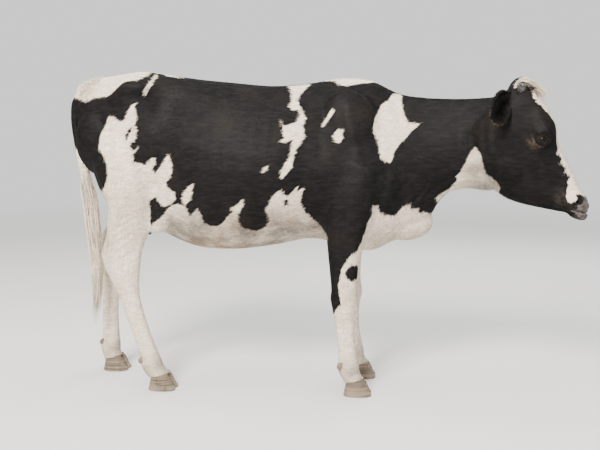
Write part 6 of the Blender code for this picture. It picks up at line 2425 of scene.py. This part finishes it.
def hoof_material():
    n = Nodes("hoof")
    rings = n.noise(26.0, stretch=(0.15, 0.15, 6.0), detail=3.0)
    fibres = n.noise(120.0, stretch=(1.0, 1.0, 0.12), detail=4.0)
    horn = n.mix(n.ramp(rings, 0.35, 0.65), HOOF_DARK, HOOF_LIGHT)
    horn = n.mix(n.math("MULTIPLY", n.ramp(fibres, 0.40, 0.70), 0.5), horn, HOOF_FIBRE)
    earth = n.ramp(n.noise(14.0, detail=6.0), 0.38, 0.62)
    low = n.ramp(n.value("height"), 0.0, 0.75, 1.0, 0.25)
    n.paint(n.mix(n.math("MULTIPLY", earth, low), horn, EARTH))
    n.roughen(n.ramp(earth, 0.0, 1.0, 0.42, 0.80))
    n.set(Specular_IOR_Level=0.4)
    height = n.math("ADD", n.math("MULTIPLY", rings, 1.4), n.math("MULTIPLY", fibres, 0.6))
    n.bump(height, 0.55, 0.0012)
    return n.material


def horn_material():
    n = Nodes("horn")
    streaks = n.noise(150.0, stretch=(1.0, 1.0, 0.35), detail=5.0)
    n.paint(n.mix(n.ramp(streaks, 0.36, 0.66), HORN_DARK, HORN_LIGHT))
    n.roughen(n.ramp(streaks, 0.0, 1.0, 0.62, 0.40))
    n.set(Specular_IOR_Level=0.3)
    n.bump(streaks, 0.8, 0.0022)
    return n.material


def stage_material():
    n = Nodes("studio floor")
    n.paint(n.mix(n.ramp(n.noise(0.6, detail=2.0), 0.3, 0.7), FLOOR_DARK, FLOOR_LIGHT))
    n.set(Roughness=0.85, Specular_IOR_Level=0.15)
    coordinates = n.tree.nodes.new("ShaderNodeTexCoord")
    length = n.tree.nodes.new("ShaderNodeVectorMath")
    length.operation = "LENGTH"
    n.link(coordinates.outputs["Object"], length.inputs[0])
    far = n.ramp(length.outputs["Value"], STAGE_FADE[0], STAGE_FADE[1])
    glow = n.tree.nodes.new("ShaderNodeEmission")
    glow.inputs["Color"].default_value = BACKDROP
    glow.inputs["Strength"].default_value = BACKDROP_STRENGTH
    blend = n.tree.nodes.new("ShaderNodeMixShader")
    n.link(far, blend.inputs[0])
    n.link(n.shader.outputs[0], blend.inputs[1])
    n.link(glow.outputs[0], blend.inputs[2])
    n.link(blend.outputs[0], n.tree.nodes["Material Output"].inputs["Surface"])
    return n.material


# Stage, light and camera
BACKDROP = (0.92, 0.92, 0.915, 1.0)
BACKDROP_STRENGTH = 1.22
# The floor turns into the backdrop between these distances
STAGE_FADE = (3.5, 15.0)
CAMERA_LENS = 45.6
SENSOR_WIDTH = 36.0
FLOOR_RADIUS = 40.0
FLOOR_SIDES = 96
# Where the lamps point
AIM = (0.0, 0.0, 0.75)
# Lamps: place, width, height, watts, colour
LAMPS = {
    "key light": ((-1.5, -5.0, 4.6), 2.0, 2.0, 1040, (1.0, 0.955, 0.885)),
    "fill light": ((4.5, -4.5, 2.4), 3.5, 3.0, 60, (0.90, 0.95, 1.0)),
    "rim light": ((1.5, 5.0, 4.2), 3.0, 2.0, 160, (0.95, 0.97, 1.0)),
    "top light": ((0.0, 0.2, 5.6), 4.0, 3.0, 130, (1.0, 1.0, 1.0)),
}


def build_stage(shift):
    """Floor, backdrop, lamps and camera, for an animal that is moved by this much."""
    turns = np.arange(FLOOR_SIDES) * math.tau / FLOOR_SIDES
    ring = [(FLOOR_RADIUS * math.cos(a), FLOOR_RADIUS * math.sin(a), 0.0) for a in turns]
    mesh = bpy.data.meshes.new("studio_floor")
    mesh.from_pydata(ring, [], [tuple(range(FLOOR_SIDES))])
    floor = placed("studio_floor", mesh)
    floor.data.materials.append(stage_material())
    world = bpy.data.worlds.new("studio")
    bpy.context.scene.world = world
    world.use_nodes = True
    background = world.node_tree.nodes["Background"]
    background.inputs["Color"].default_value = BACKDROP
    background.inputs["Strength"].default_value = BACKDROP_STRENGTH
    for name, (place, width, height, watts, colour) in LAMPS.items():
        light = bpy.data.lights.new(name, "AREA")
        light.shape = "RECTANGLE"
        light.size = width
        light.size_y = height
        light.energy = watts
        light.color = colour
        lamp = placed(name, light)
        lamp.location = place
        lamp.rotation_euler = (Vector(AIM) - Vector(place)).to_track_quat("-Z", "Y").to_euler()
    lens = bpy.data.cameras.new("camera")
    lens.lens = CAMERA_LENS
    lens.sensor_width = SENSOR_WIDTH
    camera = placed("camera", lens)
    camera.location = Vector(CAMERA_AT) + shift
    camera.rotation_euler = (math.pi / 2 - CAMERA_DIP, 0.0, CAMERA_TURN)
    bpy.context.scene.camera = camera


def end_at_coronets(skin):
    """Gathers the ends of the legs in a flat just above the coronets."""
    for _, foot, middle, _, _ in feet():
        near, line = at_foot(skin.points, foot, middle)
        x, y, z = skin.points.T
        below = near & (z < line)
        skin.points[below, 2] = line[below] + 0.0004
        pull = 1 - np.clip((line[below] - z[below]) / 0.02, 0.0, 0.35)
        skin.points[below, 0] = foot + (x[below] - foot) * pull
        skin.points[below, 1] = middle + (y[below] - middle) * pull
    skin.write()


def build_skin():
    """The whole skin with its layers."""
    skin = bare_skin()
    work_body(skin)
    work_neck(skin)
    work_legs(skin)
    skin.write()
    work_head(skin)
    skin.write()
    work_eyes(skin)
    work_nose(skin)
    end_at_coronets(skin)
    down, _, out = to_head(skin.points).T
    # The underside of the lower lip and the chin is painted near black like the lid margins: painted shade
    # under the chin
    chin_shade = step(down, 0.383, 0.392) * step(-down, -0.432, -0.415) * step(-out, 0.040, 0.048)
    chin_shade *= out > -0.09
    piece = skin.piece
    float_layer(piece, "margin", np.clip(np.maximum(skin.lid_margin, 0.9 * chin_shade), 0, 1))
    float_layer(piece, "nostril", skin.nostril)
    float_layer(piece, "bare", bareness(skin.points))
    float_layer(piece, "pale", pale_rim_and_highlight(skin.points))
    mark_layers(piece)
    shaded_smooth(piece)
    return piece


# A dewclaw, from the middle of its fetlock: its root and its axis, on the outer side
DEWCLAW_AT = (-0.034, 0.020, -0.002)
DEWCLAW_AXIS = (-0.70, 0.25, -0.66)
DEWCLAW_RADIUS = 0.0125
DEWCLAW_LENGTH = 0.017
# The skin stands in for these nodes of the solids
FLESH = ("head", "neck", "torso", "tail", *["leg_" + name for name in LEGS])


def main():
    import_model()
    low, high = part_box("eye_right")
    shift = (low + high) / 2 - head_matrix() @ Vector(sided(EYE_AT, -1))
    coat_look, hide = coat_material("coat", True), coat_material("hide", False)
    eye, hoof, horn = eye_material(), hoof_material(), horn_material()
    shown = []

    def keep(piece, look, slot, *nodes):
        piece.data.materials.clear()
        piece.data.materials.append(look)
        shown.append((piece, slot, nodes))
        return piece

    skin = build_skin()
    skin.name = "skin"
    keep(skin, hide, "coat_black", *FLESH)
    ears = []
    for side, word in ((1, "left"), (-1, "right")):
        keep(eye_piece("eyeball_" + word, side), eye, "eye", "eye_" + word)
        ear = ear_piece("ear_shell_" + word, side)
        flat_layers(ear, margin=0.0, nostril=0.0, bare=0.0)
        mark_layers(ear)
        ears.append(keep(ear, hide, "coat_black", "ear_" + word))
        at = head_matrix() @ Vector(sided(HORN_AT, side))
        axis = head_matrix().to_3x3() @ Vector(sided(HORN_AXIS, side))
        bud = peg_piece("horn_bud_" + word, at, axis, HORN_RADIUS, HORN_LENGTH, taper=0.25)
        keep(bud, horn, "horn", "horn_" + word)
    for name, foot, middle, side, fetlock in feet():
        for half, where in ((side, "outer"), (-side, "inner")):
            toe = name + "_" + where
            keep(claw_piece("toe_" + toe, foot, middle, half), hoof, "hoof", "claw_" + toe)
            at = sided(fetlock, side) + sided(DEWCLAW_AT, half)
            dew = peg_piece("dew_" + toe, at, sided(DEWCLAW_AXIS, half), DEWCLAW_RADIUS, DEWCLAW_LENGTH)
            flat_layers(dew, height=0.6)
            keep(dew, hoof, "hoof", "dewclaw_" + toe)
    for piece in build_hair(skin, ears):
        keep(piece, coat_look, "coat_black")
    for piece, slot, nodes in shown:
        piece.data.transform(Matrix.Translation(shift))
        piece.data.update()
        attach(piece, "root")
        if nodes:
            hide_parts(*nodes)
    build_stage(shift)


main()
